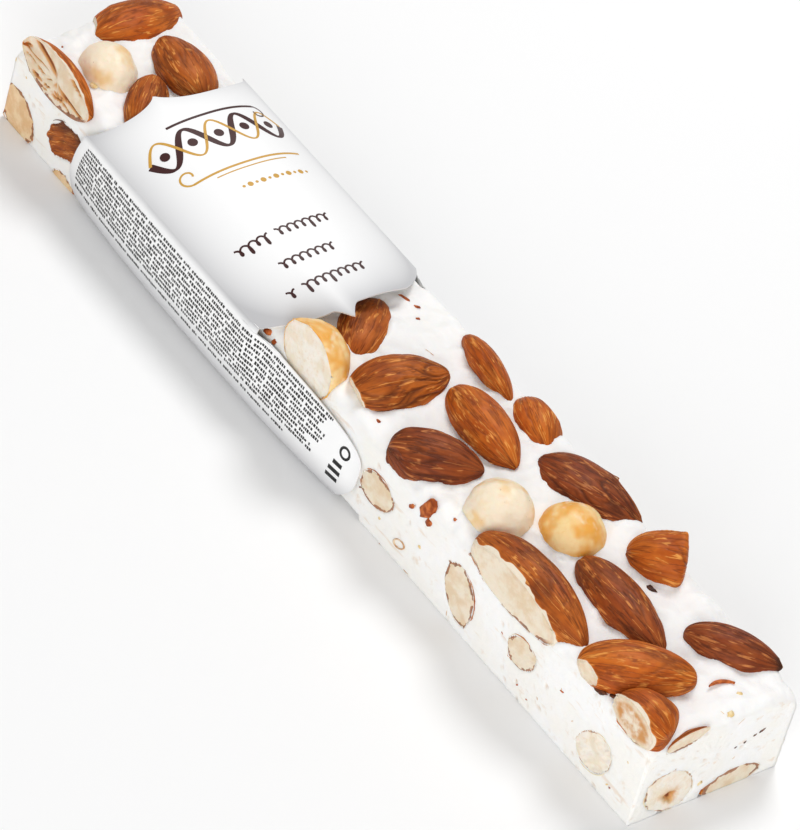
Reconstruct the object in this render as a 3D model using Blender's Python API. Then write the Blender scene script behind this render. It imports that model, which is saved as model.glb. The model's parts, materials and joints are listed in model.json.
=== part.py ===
"""A bar of soft white nougat with almonds and hazelnuts, held in a printed paper band.

Metres, +Z up. The bar lies along X on its flat base, and the origin is the middle of that base.
+X is the end where the most nuts show, -Y the long side that carries the band's text panel.
The bar is sawn from a slab, so each nut that reaches a side, an end or the base is cut off flush.
"""

import math
from collections import namedtuple

import bmesh
import bpy
from mathutils import Euler, Matrix, Vector

MM = 0.001

# The bar
BAR_LENGTH = 170 * MM
BAR_WIDTH = 29 * MM
BAR_HEIGHT = 16.5 * MM
EDGE_RADIUS = 2.2 * MM
EDGE_RADIUS_IN_BAND = 3.4 * MM
SIDE = BAR_WIDTH / 2
END = BAR_LENGTH / 2
BOTTOM_BEVEL = 0.25 * MM
TOP_SWELL = 0.35 * MM
RIDGE_AT = (66 * MM, 12 * MM)
RIDGE_REACH = (9 * MM, 4 * MM)
RIDGE_HEIGHT = 0.9 * MM
FRONT_REACH, FRONT_DROP = 2.2 * MM, 1.3 * MM
REAR_REACH, REAR_DROP = 4.0 * MM, 2.2 * MM
STATION_STEP = 7.0 * MM
END_STATIONS = (0.8 * MM, 2.2 * MM)
SECTION_POINTS_ON_TOP = 8
CORNER_STEPS = 3

# Room round each piece
SOCKET_GAP = 0.4 * MM

# The paper band
PAPER = 0.35 * MM
FOLD_Y = 15.9 * MM
FOLD_Z = 14.6 * MM
CROWN_Z = 20.2 * MM
CROWN_POWER = 2.5
FOOT_Y = 15.2 * MM
BOTTOM_RADIUS = 2.3 * MM
PANEL_REAR = -65.5 * MM
PANEL_FRONT = 13.5 * MM
PANEL_BULGE = 1.9 * MM
BULGE_POWER = 3
TONGUE_TOP = 13.45 * MM
PANEL_ROWS = [row * MM for row in (13.45, 13.3, 12.6, 11.0, 9.0, 7.0, 5.6, 4.0, 2.3)]
REAR_POINT_Y = -4.8 * MM
FRONT_POINT_Y = -4.2 * MM
TOP_STEPS = 10
BAND_COLUMNS = 5
TOP_PANEL_MIDDLE = -38 * MM
TOP_PANEL_REACH = 27 * MM
EDGE_CHANGE = 6 * MM

# The shallow channel in the bar's base that the band passes through
CHANNEL_DEPTH = 0.75 * MM
CHANNEL_BEVEL = 1.0 * MM
CHANNEL_REAR = -67.5 * MM
CHANNEL_FRONT = 15.5 * MM
CHANNEL_STEP = 0.4 * MM

# Kernels
RINGS_AND_SIDES_ON_TOP = (7, 10)
RINGS_AND_SIDES_SAWN = (6, 8)
LOWEST_ON_TOP = 13 * MM

Kernel = namedtuple("Kernel", "name kind at size turn tip roll breaks")
Kernel.__new__.__defaults__ = (0, 0, 0, ())

# Each kernel: its name, kind, centre in mm, (length, width, thickness) in mm, then its turn about
# +Z from +X, the rise of its pointed tip and its roll about its own length, in degrees. A break is
# a plane in the kernel's own frame that the piece ends at: (normal, distance in mm).
KERNELS = [
    # on top, behind the band
    Kernel("almond_rear_split", "almond", (-74.8, -15.2, 16.0), (20.4, 10, 7.4), 7, 0, 68),
    Kernel("almond_rear_top", "almond", (-81.2, 6.1, 15.8), (19, 9.6, 7), 94, -4, 8,
           (((-0.8, 0.6, 0), 7.4),)),
    Kernel("hazelnut_rear", "hazelnut", (-73.3, -5.3, 15.6), (11.8, 9.8, 9.8), 163, 0, 0),
    Kernel("almond_rear_right", "almond", (-68.6, 6.4, 16.4), (15.8, 10, 7), 172, 0, 10),
    Kernel("almond_rear_middle", "almond", (-63.2, -4.7, 16.4), (13.6, 7.2, 6), -48, -6, -30),
    # on top, in front of the band
    Kernel("hazelnut_band", "hazelnut", (-4.3, -13.9, 16.9), (13.4, 12.2, 12), 200, 25, 0),
    Kernel("almond_band", "almond", (-7.4, -0.3, 14.8), (17.4, 10.2, 7), 128, -4, 10),
    Kernel("almond_middle_cut", "almond", (6.4, -4.6, 17.2), (17.6, 10.4, 7.9), 79, 4, 10,
           (((-1, 0, -0.3), 6.9),)),
    Kernel("almond_far_edge", "almond", (8.8, 11.4, 16.2), (15.2, 7, 5), -8, 0, -70),
    Kernel("almond_middle", "almond", (19.8, 2.3, 17.2), (18.4, 8.8, 7.3), -4, 0, 0),
    Kernel("almond_far_cut", "almond", (21.4, 11.9, 15.2), (11.8, 8.4, 6.3), -18, 0, -10),
    Kernel("almond_dark_left", "almond", (21.7, -8.8, 16.8), (15.9, 10, 7.2), 46, 0, 10,
           (((-1, 0.1, 0), 6.9),)),
    Kernel("hazelnut_pale", "hazelnut", (35.3, -6.25, 16.6), (11.3, 11.0, 10.9), 160, 15, 0),
    Kernel("hazelnut_golden", "hazelnut", (43.5, 1.65, 16.0), (11.0, 11.1, 10.8), 20, 0, 0),
    Kernel("almond_dark_far", "almond", (36.7, 10.5, 15.6), (19.3, 11.3, 7.2), 21, 0, -6),
    Kernel("almond_half_far", "almond", (55.8, 13.1, 17.0), (16.6, 10.2, 9), 50, 0, 0,
           (((1, 0, 0), 0.5),)),
    Kernel("almond_big_sawn", "almond", (51.2, -12.0, 16.8), (26, 11.2, 8), 3, 0, 30),
    Kernel("almond_between", "almond", (59.3, -0.6, 16.7), (21.4, 9, 7), -1, 0, -8),
    Kernel("almond_front_middle", "almond", (71.6, -7.0, 17.3), (19.0, 10.4, 7.3), 54, 0, 0,
           (((1, 0, 0), 8.3),)),
    Kernel("almond_front_dark", "almond", (73.9, 9.6, 16.8), (15.8, 7.6, 6.4), 38, 0, -6),
    Kernel("almond_front_chunk", "almond", (80.5, -12.3, 17.6), (12.2, 9.8, 6.8), 35, 0, 10,
           (((1, 0, 0), 3.8),)),
    Kernel("almond_front_slice", "almond", (85.0, -7.2, 15.45), (8.2, 3, 3), 90, 14, 0),
    # cut through in the near long side
    Kernel("almond_side_brown", "almond", (-69.0, -12.0, 8.0), (14, 10, 8), 0, 32, 60),
    Kernel("almond_side_corner", "almond", (-81.4, -13.6, 3.4), (11, 9, 8), 0, -28, 60),
    Kernel("almond_side_low", "almond", (-67.4, -13.5, -0.3), (7, 5.4, 4.6), 0, 0, 70),
    Kernel("almond_side_band", "almond", (17.7, -13.5, 8.2), (9.4, 7, 7), 0, 10, 80),
    Kernel("almond_side_tall", "almond", (39.8, -13.5, 6.5), (11.6, 8.2, 7), 0, -65, 80),
    Kernel("almond_side_middle", "almond", (55.3, -13.5, 8.5), (8, 6.4, 6), 0, 23, 80),
    Kernel("hazelnut_side", "hazelnut", (74.7, -13.0, 6.0), (10.4, 7.4, 8), 10, 39, 0),
    # cut through in the front end
    Kernel("hazelnut_front", "hazelnut", (83.6, -7.7, 4.7), (12, 9, 9), 85, -41, 0),
    Kernel("almond_front_low", "almond", (84.0, 5.5, 1.2), (12, 7, 6), 90, 8, 20),
    # cut through in the far long side and the rear end
    Kernel("almond_back_rear", "almond", (-76.0, 13.6, 6.6), (10, 7.6, 7), 0, 40, 80),
    Kernel("almond_back_middle", "almond", (27.0, 13.5, 7.4), (11, 7.6, 7), 0, -20, 80),
    Kernel("almond_back_front", "almond", (46.0, 13.6, 5.4), (9, 7, 6), 0, 55, 80),
    Kernel("hazelnut_back_front", "hazelnut", (65.0, 13.0, 7.0), (11, 9.6, 9), -20, 35, 0),
    Kernel("almond_end_rear", "almond", (-84.0, 5.4, 6.4), (10.6, 7.4, 7), 90, 25, 80),
    Kernel("hazelnut_end_rear", "hazelnut", (-83.6, -4.6, 9.6), (9.4, 8.8, 8.4), 75, -15, 0),
]

SKIN_BROWN = (0.33, 0.10, 0.035)
CREAM = (0.80, 0.62, 0.36)
NOUGAT_WHITE = (0.91, 0.89, 0.85)
PAPER_WHITE = (0.93, 0.93, 0.93)


def clear_scene():
    for obj in list(bpy.data.objects):
        bpy.data.objects.remove(obj, do_unlink=True)


def principled(name, colour, roughness):
    material = bpy.data.materials.new(name)
    material.use_nodes = True
    shader = material.node_tree.nodes["Principled BSDF"]
    shader.inputs["Base Color"].default_value = (*colour, 1.0)
    shader.inputs["Roughness"].default_value = roughness
    shader.inputs["Metallic"].default_value = 0.0
    return material


def add_object(name, bm, material=None):
    mesh = bpy.data.meshes.new(name)
    bm.to_mesh(mesh)
    bm.free()
    obj = bpy.data.objects.new(name, mesh)
    bpy.context.scene.collection.objects.link(obj)
    if material:
        mesh.materials.append(material)
    return obj


def shade_round(obj, sharp_angle=math.radians(40)):
    obj.data.shade_smooth()
    obj.data.set_sharp_from_angle(angle=sharp_angle)


# ---------------------------------------------------------------- kernels


def almond_girth(t):
    """Share of the half width at t, from the round butt at -1 to the pointed tip at 1."""
    return (1 - t * t) ** (0.5 + 0.075 * (1 + t)) * (1 - 0.12 * t)


def hazelnut_girth(t):
    """A round kernel with a slight point at t = 1."""
    return (1 - t * t) ** (0.5 + 0.04 * (1 + t))


def ring_places(count):
    """Places along the kernel from -1 to 1, closer together towards its two ends."""
    return [-math.cos(math.pi * i / count) for i in range(1, count)]


def kernel_mesh(kernel, grow=0.0):
    """A closed kernel along X, with its poles on the axis; grow adds the same room all round."""
    length, width, thick = (value * MM for value in kernel.size)
    girth = almond_girth if kernel.kind == "almond" else hazelnut_girth
    on_top = kernel.at[2] * MM > LOWEST_ON_TOP
    rings, sides = RINGS_AND_SIDES_ON_TOP if on_top else RINGS_AND_SIDES_SAWN
    bm = bmesh.new()
    butt = bm.verts.new((-length / 2 - grow, 0, 0))
    tip = bm.verts.new((length / 2 + grow, 0, 0))
    loops = []
    for t in ring_places(rings):
        around = []
        for k in range(sides):
            angle = 2 * math.pi * (k + 0.5) / sides
            y = (girth(t) * width / 2 + grow) * math.cos(angle)
            z = (girth(t) * thick / 2 + grow) * math.sin(angle)
            around.append(bm.verts.new((t * (length / 2 + grow), y, z)))
        loops.append(around)
    for k in range(sides):
        after = (k + 1) % sides
        bm.faces.new((butt, loops[0][after], loops[0][k]))
        bm.faces.new((tip, loops[-1][k], loops[-1][after]))
        for low, high in zip(loops, loops[1:]):
            bm.faces.new((low[k], low[after], high[after], high[k]))
    return bm


def face_outwards(bm):
    bm.normal_update()
    bmesh.ops.recalc_face_normals(bm, faces=bm.faces)


def cut_off(bm, point, normal):
    """Removes what lies beyond a plane and closes the cut."""
    geometry = bm.verts[:] + bm.edges[:] + bm.faces[:]
    cut = bmesh.ops.bisect_plane(
        bm, geom=geometry, plane_co=point, plane_no=normal, clear_outer=True
    )
    edges = [item for item in cut["geom_cut"] if isinstance(item, bmesh.types.BMEdge)]
    if edges:
        bmesh.ops.holes_fill(bm, edges=edges, sides=0)


def placing(kernel):
    turn = Euler(
        (math.radians(kernel.roll), math.radians(-kernel.tip), math.radians(kernel.turn)), "XYZ"
    )
    return Matrix.Translation(Vector(kernel.at) * MM) @ turn.to_matrix().to_4x4()


BAR_FACES = [
    ((0, -SIDE, 0), (0, -1, 0)),
    ((0, SIDE, 0), (0, 1, 0)),
    ((END, 0, 0), (1, 0, 0)),
    ((-END, 0, 0), (-1, 0, 0)),
    ((0, 0, 0), (0, 0, -1)),
]


def add_kernel(kernel, material):
    bm = kernel_mesh(kernel)
    for normal, distance in kernel.breaks:
        normal = Vector(normal).normalized()
        cut_off(bm, normal * distance * MM, normal)
    bm.transform(placing(kernel))
    for point, normal in BAR_FACES:
        cut_off(bm, point, normal)
    face_outwards(bm)
    obj = add_object(kernel.name, bm, material)
    shade_round(obj)
    return obj


def add_socket(kernel, collection):
    """The hollow that a kernel sits in: its own shape with room all round."""
    bm = kernel_mesh(kernel, SOCKET_GAP)
    for normal, distance in kernel.breaks:
        normal = Vector(normal).normalized()
        cut_off(bm, normal * (distance * MM + SOCKET_GAP), normal)
    bm.transform(placing(kernel))
    face_outwards(bm)
    cutter = add_object(kernel.name + ".socket", bm)
    cutter.hide_render = True
    cutter.display_type = "WIRE"
    bpy.context.scene.collection.objects.unlink(cutter)
    collection.objects.link(cutter)


# ---------------------------------------------------------------- nougat


def top_height(x, y):
    """The top of the nougat: gently uneven, with a low ridge and softened towards both ends."""
    swell = math.sin(x / (9 * MM) + 1.3) * math.cos(y / (7 * MM) + x / (31 * MM))
    swell += 0.7 * math.sin(x / (21 * MM) - y / (5 * MM))
    along = (x - RIDGE_AT[0]) / RIDGE_REACH[0]
    across = (y - RIDGE_AT[1]) / RIDGE_REACH[1]
    ridge = RIDGE_HEIGHT * math.exp(-(along**2) - across**2)
    reach, drop = (FRONT_REACH, FRONT_DROP) if x > 0 else (REAR_REACH, REAR_DROP)
    softened = drop * max(0.0, 1 - (END - abs(x)) / reach) ** 2
    return BAR_HEIGHT + TOP_SWELL * swell + ridge - softened


def in_channel(x):
    return CHANNEL_REAR < x < CHANNEL_FRONT


def edge_radius(x):
    """The top edges are rounder under the band's top panel."""
    share = (abs(x - TOP_PANEL_MIDDLE) - TOP_PANEL_REACH) / EDGE_CHANGE
    share = min(1.0, max(0.0, share))
    return EDGE_RADIUS_IN_BAND + (EDGE_RADIUS - EDGE_RADIUS_IN_BAND) * share


def nougat_section(x):
    """The outline across the bar at x: base, far side, rounded top corners, near side."""
    base = CHANNEL_DEPTH if in_channel(x) else 0.0
    bevel = CHANNEL_BEVEL if in_channel(x) else BOTTOM_BEVEL
    radius = edge_radius(x)
    points = [(-SIDE + bevel, base), (SIDE - bevel, base), (SIDE, base + bevel)]
    corner = []
    for step in range(CORNER_STEPS + 1):
        angle = math.pi / 2 * step / CORNER_STEPS
        corner.append((radius * math.cos(angle), radius * math.sin(angle)))
    low = min(top_height(x, SIDE - radius), top_height(x, radius - SIDE)) - radius
    for across, up in corner:
        points.append((SIDE - radius + across, low + up))
    span = 2 * (SIDE - radius)
    for step in range(1, SECTION_POINTS_ON_TOP):
        y = SIDE - radius - span * step / SECTION_POINTS_ON_TOP
        blend = math.sin(math.pi * step / SECTION_POINTS_ON_TOP) ** 0.5
        flat = low + radius
        points.append((y, flat + (top_height(x, y) - flat) * blend))
    for across, up in reversed(corner):
        points.append((radius - SIDE - across, low + up))
    points.append((-SIDE, base + bevel))
    return points


def stations():
    """Places along the bar where its section is drawn, with close pairs where it steps."""
    fixed = [-END, END, CHANNEL_REAR, CHANNEL_FRONT]
    fixed += [CHANNEL_REAR + CHANNEL_STEP, CHANNEL_FRONT - CHANNEL_STEP]
    for inset in END_STATIONS:
        fixed += [inset - END, END - inset]
    fixed.sort()
    places = []
    for here, after in zip(fixed, fixed[1:]):
        count = max(1, round((after - here) / STATION_STEP))
        places += [here + (after - here) * k / count for k in range(count)]
    return places + [END]


def add_nougat(sockets, material):
    bm = bmesh.new()
    loops = []
    for x in stations():
        loops.append([bm.verts.new((x, y, z)) for y, z in nougat_section(x)])
    for low, high in zip(loops, loops[1:]):
        for k in range(len(low)):
            after = (k + 1) % len(low)
            bm.faces.new((low[k], low[after], high[after], high[k]))
    bm.faces.new(loops[0])
    bm.faces.new(reversed(loops[-1]))
    face_outwards(bm)
    obj = add_object("nougat", bm, material)
    cut = obj.modifiers.new("sockets", "BOOLEAN")
    cut.operation = "DIFFERENCE"
    cut.operand_type = "COLLECTION"
    cut.collection = sockets
    cut.solver = "EXACT"
    shade_round(obj)
    return obj


# ---------------------------------------------------------------- paper band


def crown(y):
    """Height of the band's top panel, arched over the nuts from fold to fold."""
    return FOLD_Z + (CROWN_Z - FOLD_Z) * (1 - abs(y / FOLD_Y) ** CROWN_POWER)


def belly(x):
    """How far the side panels swell at x: most in the middle of the band, none at its ends."""
    middle, half = (PANEL_REAR + PANEL_FRONT) / 2, (PANEL_FRONT - PANEL_REAR) / 2
    return PANEL_BULGE * max(0.0, 1 - abs((x - middle) / half) ** BULGE_POWER)


def half_section(x):
    """The band's section at x, from the middle of the top down its +Y side to the base."""
    points = []
    for k in range(TOP_STEPS):
        y = FOLD_Y * math.sin(math.pi / 2 * k / TOP_STEPS)
        points.append((y, crown(y)))
    points.append((FOLD_Y, FOLD_Z))
    foot = FOOT_Y + belly(x)
    for z in PANEL_ROWS:
        share = (FOLD_Z - z) / (FOLD_Z - BOTTOM_RADIUS)
        swell = 0.4 * belly(x) * math.sin(math.pi * share)
        points.append((FOLD_Y + (foot - FOLD_Y) * share + swell, z))
    for k in range(1, CORNER_STEPS + 1):
        angle = math.pi / 2 * k / CORNER_STEPS
        y = foot - BOTTOM_RADIUS + BOTTOM_RADIUS * math.cos(angle)
        points.append((y, BOTTOM_RADIUS - BOTTOM_RADIUS * math.sin(angle)))
    return points


def whole_section(x):
    """The closed section at x, once round: down the far side, along the base and back over."""
    half = half_section(x)
    return half + [(0, 0)] + [(-y, z) for y, z in reversed(half) if y > 0]


def inward(section):
    """The section's inner face, one paper thickness in."""
    inner = []
    for k, (y, z) in enumerate(section):
        before, after = section[k - 1], section[(k + 1) % len(section)]
        first = Vector((y - before[0], z - before[1])).normalized()
        second = Vector((after[0] - y, after[1] - z)).normalized()
        along = (first + second).normalized()
        square = max(0.5, along.dot(first))
        inner.append((y + along.y * PAPER / square, z - along.x * PAPER / square))
    return inner


def arc_between(y, start, end, depth):
    """A shallow arc over the chord from start to end, both (y, x)."""
    share = (y - start[0]) / (end[0] - start[0])
    arch = max(0.0, 4 * share * (1 - share)) ** 0.7
    return start[1] + (end[1] - start[1]) * share + depth * arch


def top_rear_edge(y):
    """Two hollow arcs that meet in a point, off the middle."""
    point = (REAR_POINT_Y, -62.2 * MM)
    if y < REAR_POINT_Y:
        return arc_between(y, (-FOLD_Y, -62.9 * MM), point, 2.4 * MM)
    return arc_between(y, point, (FOLD_Y, -64.6 * MM), 3.8 * MM)


def top_front_edge(y):
    """Round corners, shallow hollows and a small point between them."""
    near = max(0.0, (-y - 7.0 * MM) / (FOLD_Y - 7.0 * MM)) ** 1.8
    far = max(0.0, (y - 7.0 * MM) / (FOLD_Y - 7.0 * MM)) ** 1.7
    point = max(0.0, 1 - abs(y - FRONT_POINT_Y) / (2.4 * MM)) ** 1.6
    return (-9.4 - 5.5 * near - 6.8 * far + 2.7 * point) * MM


def side_rear_edge(z):
    widest = 5.6 * MM
    if z > widest:
        return PANEL_REAR + 2.6 * MM * ((z - widest) / (FOLD_Z - widest)) ** 1.6
    return PANEL_REAR + 6.4 * MM * ((widest - z) / widest) ** 3


def side_front_edge(z, corner):
    """A rounded tongue that reaches past the top panel; corner is where the top panel ends."""
    widest = 7.0 * MM
    if z < widest:
        return PANEL_FRONT - 5.2 * MM * ((widest - z) / widest) ** 2.2
    share = min(1.0, (z - widest) / (TONGUE_TOP - widest))
    return corner + (PANEL_FRONT - corner) * (1 - share**3.7) ** (1 / 3.7)


def band_ends(y, z):
    """Where the band starts and stops along X at a place on its section."""
    if z >= FOLD_Z:
        return top_rear_edge(y), top_front_edge(y)
    return side_rear_edge(z), side_front_edge(z, top_front_edge(math.copysign(FOLD_Y, y)))


def band_skins(bm):
    """The band's outer and inner faces as grids of points: once round by along the bar."""
    outer, inner = [], []
    for row, (y, z) in enumerate(whole_section(PANEL_REAR)):
        rear, front = band_ends(y, z)
        outer_row, inner_row = [], []
        for column in range(BAND_COLUMNS + 1):
            x = rear + (front - rear) * column / BAND_COLUMNS
            section = whole_section(x)
            outer_row.append(bm.verts.new((x, *section[row])))
            inner_row.append(bm.verts.new((x, *inward(section)[row])))
        outer.append(outer_row)
        inner.append(inner_row)
    return outer, inner


def add_band(material):
    bm = bmesh.new()
    outer, inner = band_skins(bm)
    for row in range(len(outer)):
        after = (row + 1) % len(outer)
        for skin in (outer, inner):
            for column in range(BAND_COLUMNS):
                low, high = skin[row], skin[after]
                bm.faces.new((low[column], low[column + 1], high[column + 1], high[column]))
        for column in (0, BAND_COLUMNS):
            bm.faces.new((outer[row][column], outer[after][column],
                          inner[after][column], inner[row][column]))
    face_outwards(bm)
    obj = add_object("paper_band", bm, material)
    shade_round(obj)
    return obj


def main():
    clear_scene()
    sockets = bpy.data.collections.new("sockets")
    bpy.context.scene.collection.children.link(sockets)
    for kernel in KERNELS:
        colour = SKIN_BROWN if kernel.kind == "almond" else CREAM
        add_kernel(kernel, principled(kernel.name, colour, 0.5))
        add_socket(kernel, sockets)
    add_nougat(sockets, principled("nougat", NOUGAT_WHITE, 0.6))
    add_band(principled("paper_band", PAPER_WHITE, 0.5))


main()
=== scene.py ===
"""The looks of a nougat bar: soft white nougat, almonds and hazelnuts, and a printed paper band.

The bar lies along X with its flat base on z = 0. Each kernel is a skin drawn smoothly through the
points of its solid, then wrinkled along its own length. The nougat is one skin that swells up round
the kernels. The band is a sheet with thickness, and its print is thin pieces laid on it.
"""

import itertools
import json
import math

import bmesh
import bpy
import numpy as np
from mathutils import Matrix, Vector
from mathutils.bvhtree import BVHTree
from mathutils.kdtree import KDTree


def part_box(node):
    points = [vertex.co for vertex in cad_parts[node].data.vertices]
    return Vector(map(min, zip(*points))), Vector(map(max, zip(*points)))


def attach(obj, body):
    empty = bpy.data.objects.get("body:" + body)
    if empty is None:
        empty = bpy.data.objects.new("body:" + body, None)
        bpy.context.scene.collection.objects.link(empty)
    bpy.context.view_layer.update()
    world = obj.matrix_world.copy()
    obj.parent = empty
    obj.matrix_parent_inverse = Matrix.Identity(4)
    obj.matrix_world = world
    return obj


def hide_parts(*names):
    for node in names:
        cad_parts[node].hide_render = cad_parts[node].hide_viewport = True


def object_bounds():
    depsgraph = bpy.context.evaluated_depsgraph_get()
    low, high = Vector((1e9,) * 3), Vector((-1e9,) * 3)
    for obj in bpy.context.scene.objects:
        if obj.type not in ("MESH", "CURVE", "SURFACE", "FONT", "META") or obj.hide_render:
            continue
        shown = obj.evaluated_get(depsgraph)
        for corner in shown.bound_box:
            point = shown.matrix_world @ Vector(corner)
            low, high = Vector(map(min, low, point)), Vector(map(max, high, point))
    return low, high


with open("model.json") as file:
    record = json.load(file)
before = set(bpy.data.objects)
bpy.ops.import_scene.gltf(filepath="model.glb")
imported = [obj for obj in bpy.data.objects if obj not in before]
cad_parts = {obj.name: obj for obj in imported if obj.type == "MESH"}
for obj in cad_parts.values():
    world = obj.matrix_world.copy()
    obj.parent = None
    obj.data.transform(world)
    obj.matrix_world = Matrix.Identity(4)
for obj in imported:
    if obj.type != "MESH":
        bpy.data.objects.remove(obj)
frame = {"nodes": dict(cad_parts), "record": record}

MM = 0.001
CAD_LOW, CAD_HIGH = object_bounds()
BODY = "root"

# ---- sizes

BAR_LOW, BAR_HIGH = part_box("nougat")
SIDE = BAR_HIGH.y
END = BAR_HIGH.x
TOP_LEVEL = 16.5 * MM
EDGE_RADIUS = 2.2 * MM
EDGE_RADIUS_IN_BAND = 3.4 * MM
BASE_BEVEL = 0.25 * MM
# How many points each stretch of the bar's outline has, and how many rings close each end.
BASE_POINTS = 18
SIDE_POINTS = 37
CORNER_POINTS = 11
LID_POINTS = 77
END_RINGS = 22
# The channel for the band in the bar's base.
CHANNEL_DEPTH = 0.75 * MM
CHANNEL_REAR = -67.5 * MM
CHANNEL_FRONT = 15.5 * MM
CHANNEL_SLOPE = 0.4 * MM

# Where the band hides the bar: the stretch with coarser stations, the one that stays free of
# crumbs, and the middle and reach of the one with rounder edges.
COARSE_REAR, COARSE_FRONT = -58 * MM, -16 * MM
COVERED_REAR, COVERED_FRONT = -62 * MM, -10 * MM
ROUNDED_MIDDLE, ROUNDED_REACH, ROUNDED_FADE = -38 * MM, 27 * MM, 6 * MM

BAND_LOW, BAND_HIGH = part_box("paper_band")
PAPER = 0.22 * MM
FOLD_Y = 15.9 * MM
FOLD_Z = 14.6 * MM
CROWN_Z = BAND_HIGH.z
CROWN_POWER = 2.5
FOOT_Y = 15.2 * MM
BOTTOM_RADIUS = 2.3 * MM
PANEL_REAR = BAND_LOW.x
PANEL_FRONT = BAND_HIGH.x
PANEL_BULGE = 1.86 * MM
BULGE_POWER = 3
TONGUE_TOP = 13.45 * MM
TONGUE_LEAN = 1.0 * MM
PRINT_THICKNESS = 0.03 * MM
PRINT_SINK = 0.02 * MM
SHARP_EDGE = math.radians(35)


def colour(red, green, blue):
    """A screen colour, 0 to 255, as the linear colour that shaders take."""
    linear = []
    for value in (red / 255, green / 255, blue / 255):
        linear.append(value / 12.92 if value <= 0.04045 else ((value + 0.055) / 1.055) ** 2.4)
    return (*linear, 1.0)


# ---- noise


def make_lattice(seed):
    """Numbers for gradient noise: a shuffled table and a slope for each of its entries."""
    rng = np.random.default_rng(seed)
    slopes = rng.normal(size=(256, 3))
    return rng.permutation(256), slopes / np.linalg.norm(slopes, axis=1, keepdims=True)


LATTICE = make_lattice(7)


def noise(points):
    """Smooth gradient noise, about -1 to 1, one feature per unit."""
    table, slopes = LATTICE
    cell = np.floor(points).astype(np.int64)
    part = points - cell
    ease = part**3 * (part * (part * 6 - 15) + 10)
    total = np.zeros(len(points))
    for corner in itertools.product((0, 1), repeat=3):
        place = (cell + corner) & 255
        entry = table[(table[(table[place[:, 0]] + place[:, 1]) & 255] + place[:, 2]) & 255]
        reach = ((part - corner) * slopes[entry]).sum(axis=1)
        share = np.where(np.array(corner) == 1, ease, 1 - ease).prod(axis=1)
        total += reach * share
    return total * 1.6


def layered(points, octaves):
    """Noise summed over octaves, each twice as fine and half as strong."""
    total = np.zeros(len(points))
    for octave in range(octaves):
        total += noise(points * 2**octave + 17.3 * octave) * 0.5**octave
    return total


def creases(points):
    """1 along thin winding lines, falling to 0 between them."""
    return np.clip(1 - np.abs(noise(points)) * 3.2, 0, 1)


def eased(values, low, high):
    """0 below low, 1 above high, eased between them."""
    share = np.clip((values - low) / (high - low), 0, 1)
    return share * share * (3 - 2 * share)


# ---- meshes


def link_object(name, data):
    obj = bpy.data.objects.new(name, data)
    bpy.context.scene.collection.objects.link(obj)
    return obj


def made_real(obj, name):
    """A plain mesh object of what obj's modifiers make, in its place."""
    graph = bpy.context.evaluated_depsgraph_get()
    mesh = bpy.data.meshes.new_from_object(obj.evaluated_get(graph))
    bpy.data.objects.remove(obj)
    return link_object(name, mesh)


def new_mesh_object(name, points, faces, material):
    """A smooth mesh object at the origin."""
    mesh = bpy.data.meshes.new(name)
    mesh.from_pydata(np.asarray(points).tolist(), [], [list(map(int, face)) for face in faces])
    mesh.materials.append(material)
    mesh.shade_smooth()
    return link_object(name, mesh)


def vectors_of(rows, key):
    flat = np.empty(len(rows) * 3, np.float32)
    rows.foreach_get(key, flat)
    return flat.reshape(-1, 3).astype(float)


def points_of(mesh):
    return vectors_of(mesh.vertices, "co")


def normals_of(mesh):
    return vectors_of(mesh.vertex_normals, "vector")


def set_points(mesh, points):
    mesh.vertices.foreach_set("co", np.asarray(points, np.float32).ravel())
    mesh.update()


def push_out(mesh, move):
    """Moves each point along its normal by move, in mm."""
    set_points(mesh, points_of(mesh) + normals_of(mesh) * (move * MM)[:, None])


def keep_inside(mesh):
    """No point may leave the box of the whole solid."""
    set_points(mesh, np.clip(points_of(mesh), np.array(CAD_LOW), np.array(CAD_HIGH)))


def set_number(mesh, name, values):
    data = mesh.attributes.new(name, "FLOAT", "POINT").data
    data.foreach_set("value", np.asarray(values, np.float32))


def set_vector(mesh, name, values):
    data = mesh.attributes.new(name, "FLOAT_VECTOR", "POINT").data
    data.foreach_set("vector", np.asarray(values, np.float32).ravel())


def grid_faces(rows, columns, closed_rows=False, closed_columns=False):
    """Quads over a grid of points numbered row by row."""
    faces = []
    for row in range(rows if closed_rows else rows - 1):
        low, high = row * columns, (row + 1) % rows * columns
        for column in range(columns if closed_columns else columns - 1):
            after = (column + 1) % columns
            faces.append((low + column, low + after, high + after, high + column))
    return faces


def face_outward(mesh):
    """Turns every face outward and keeps the mesh's folds sharp."""
    bm = bmesh.new()
    bm.from_mesh(mesh)
    bmesh.ops.recalc_face_normals(bm, faces=bm.faces)
    bm.to_mesh(mesh)
    bm.free()
    mesh.set_sharp_from_angle(angle=SHARP_EDGE)


def own(obj, slot, *nodes):
    """Finishes a piece: it rides on the bar and stands for its solids. slot is not used."""
    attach(obj, BODY)
    if nodes:
        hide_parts(*nodes)
    return obj


# ---- node trees


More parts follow.
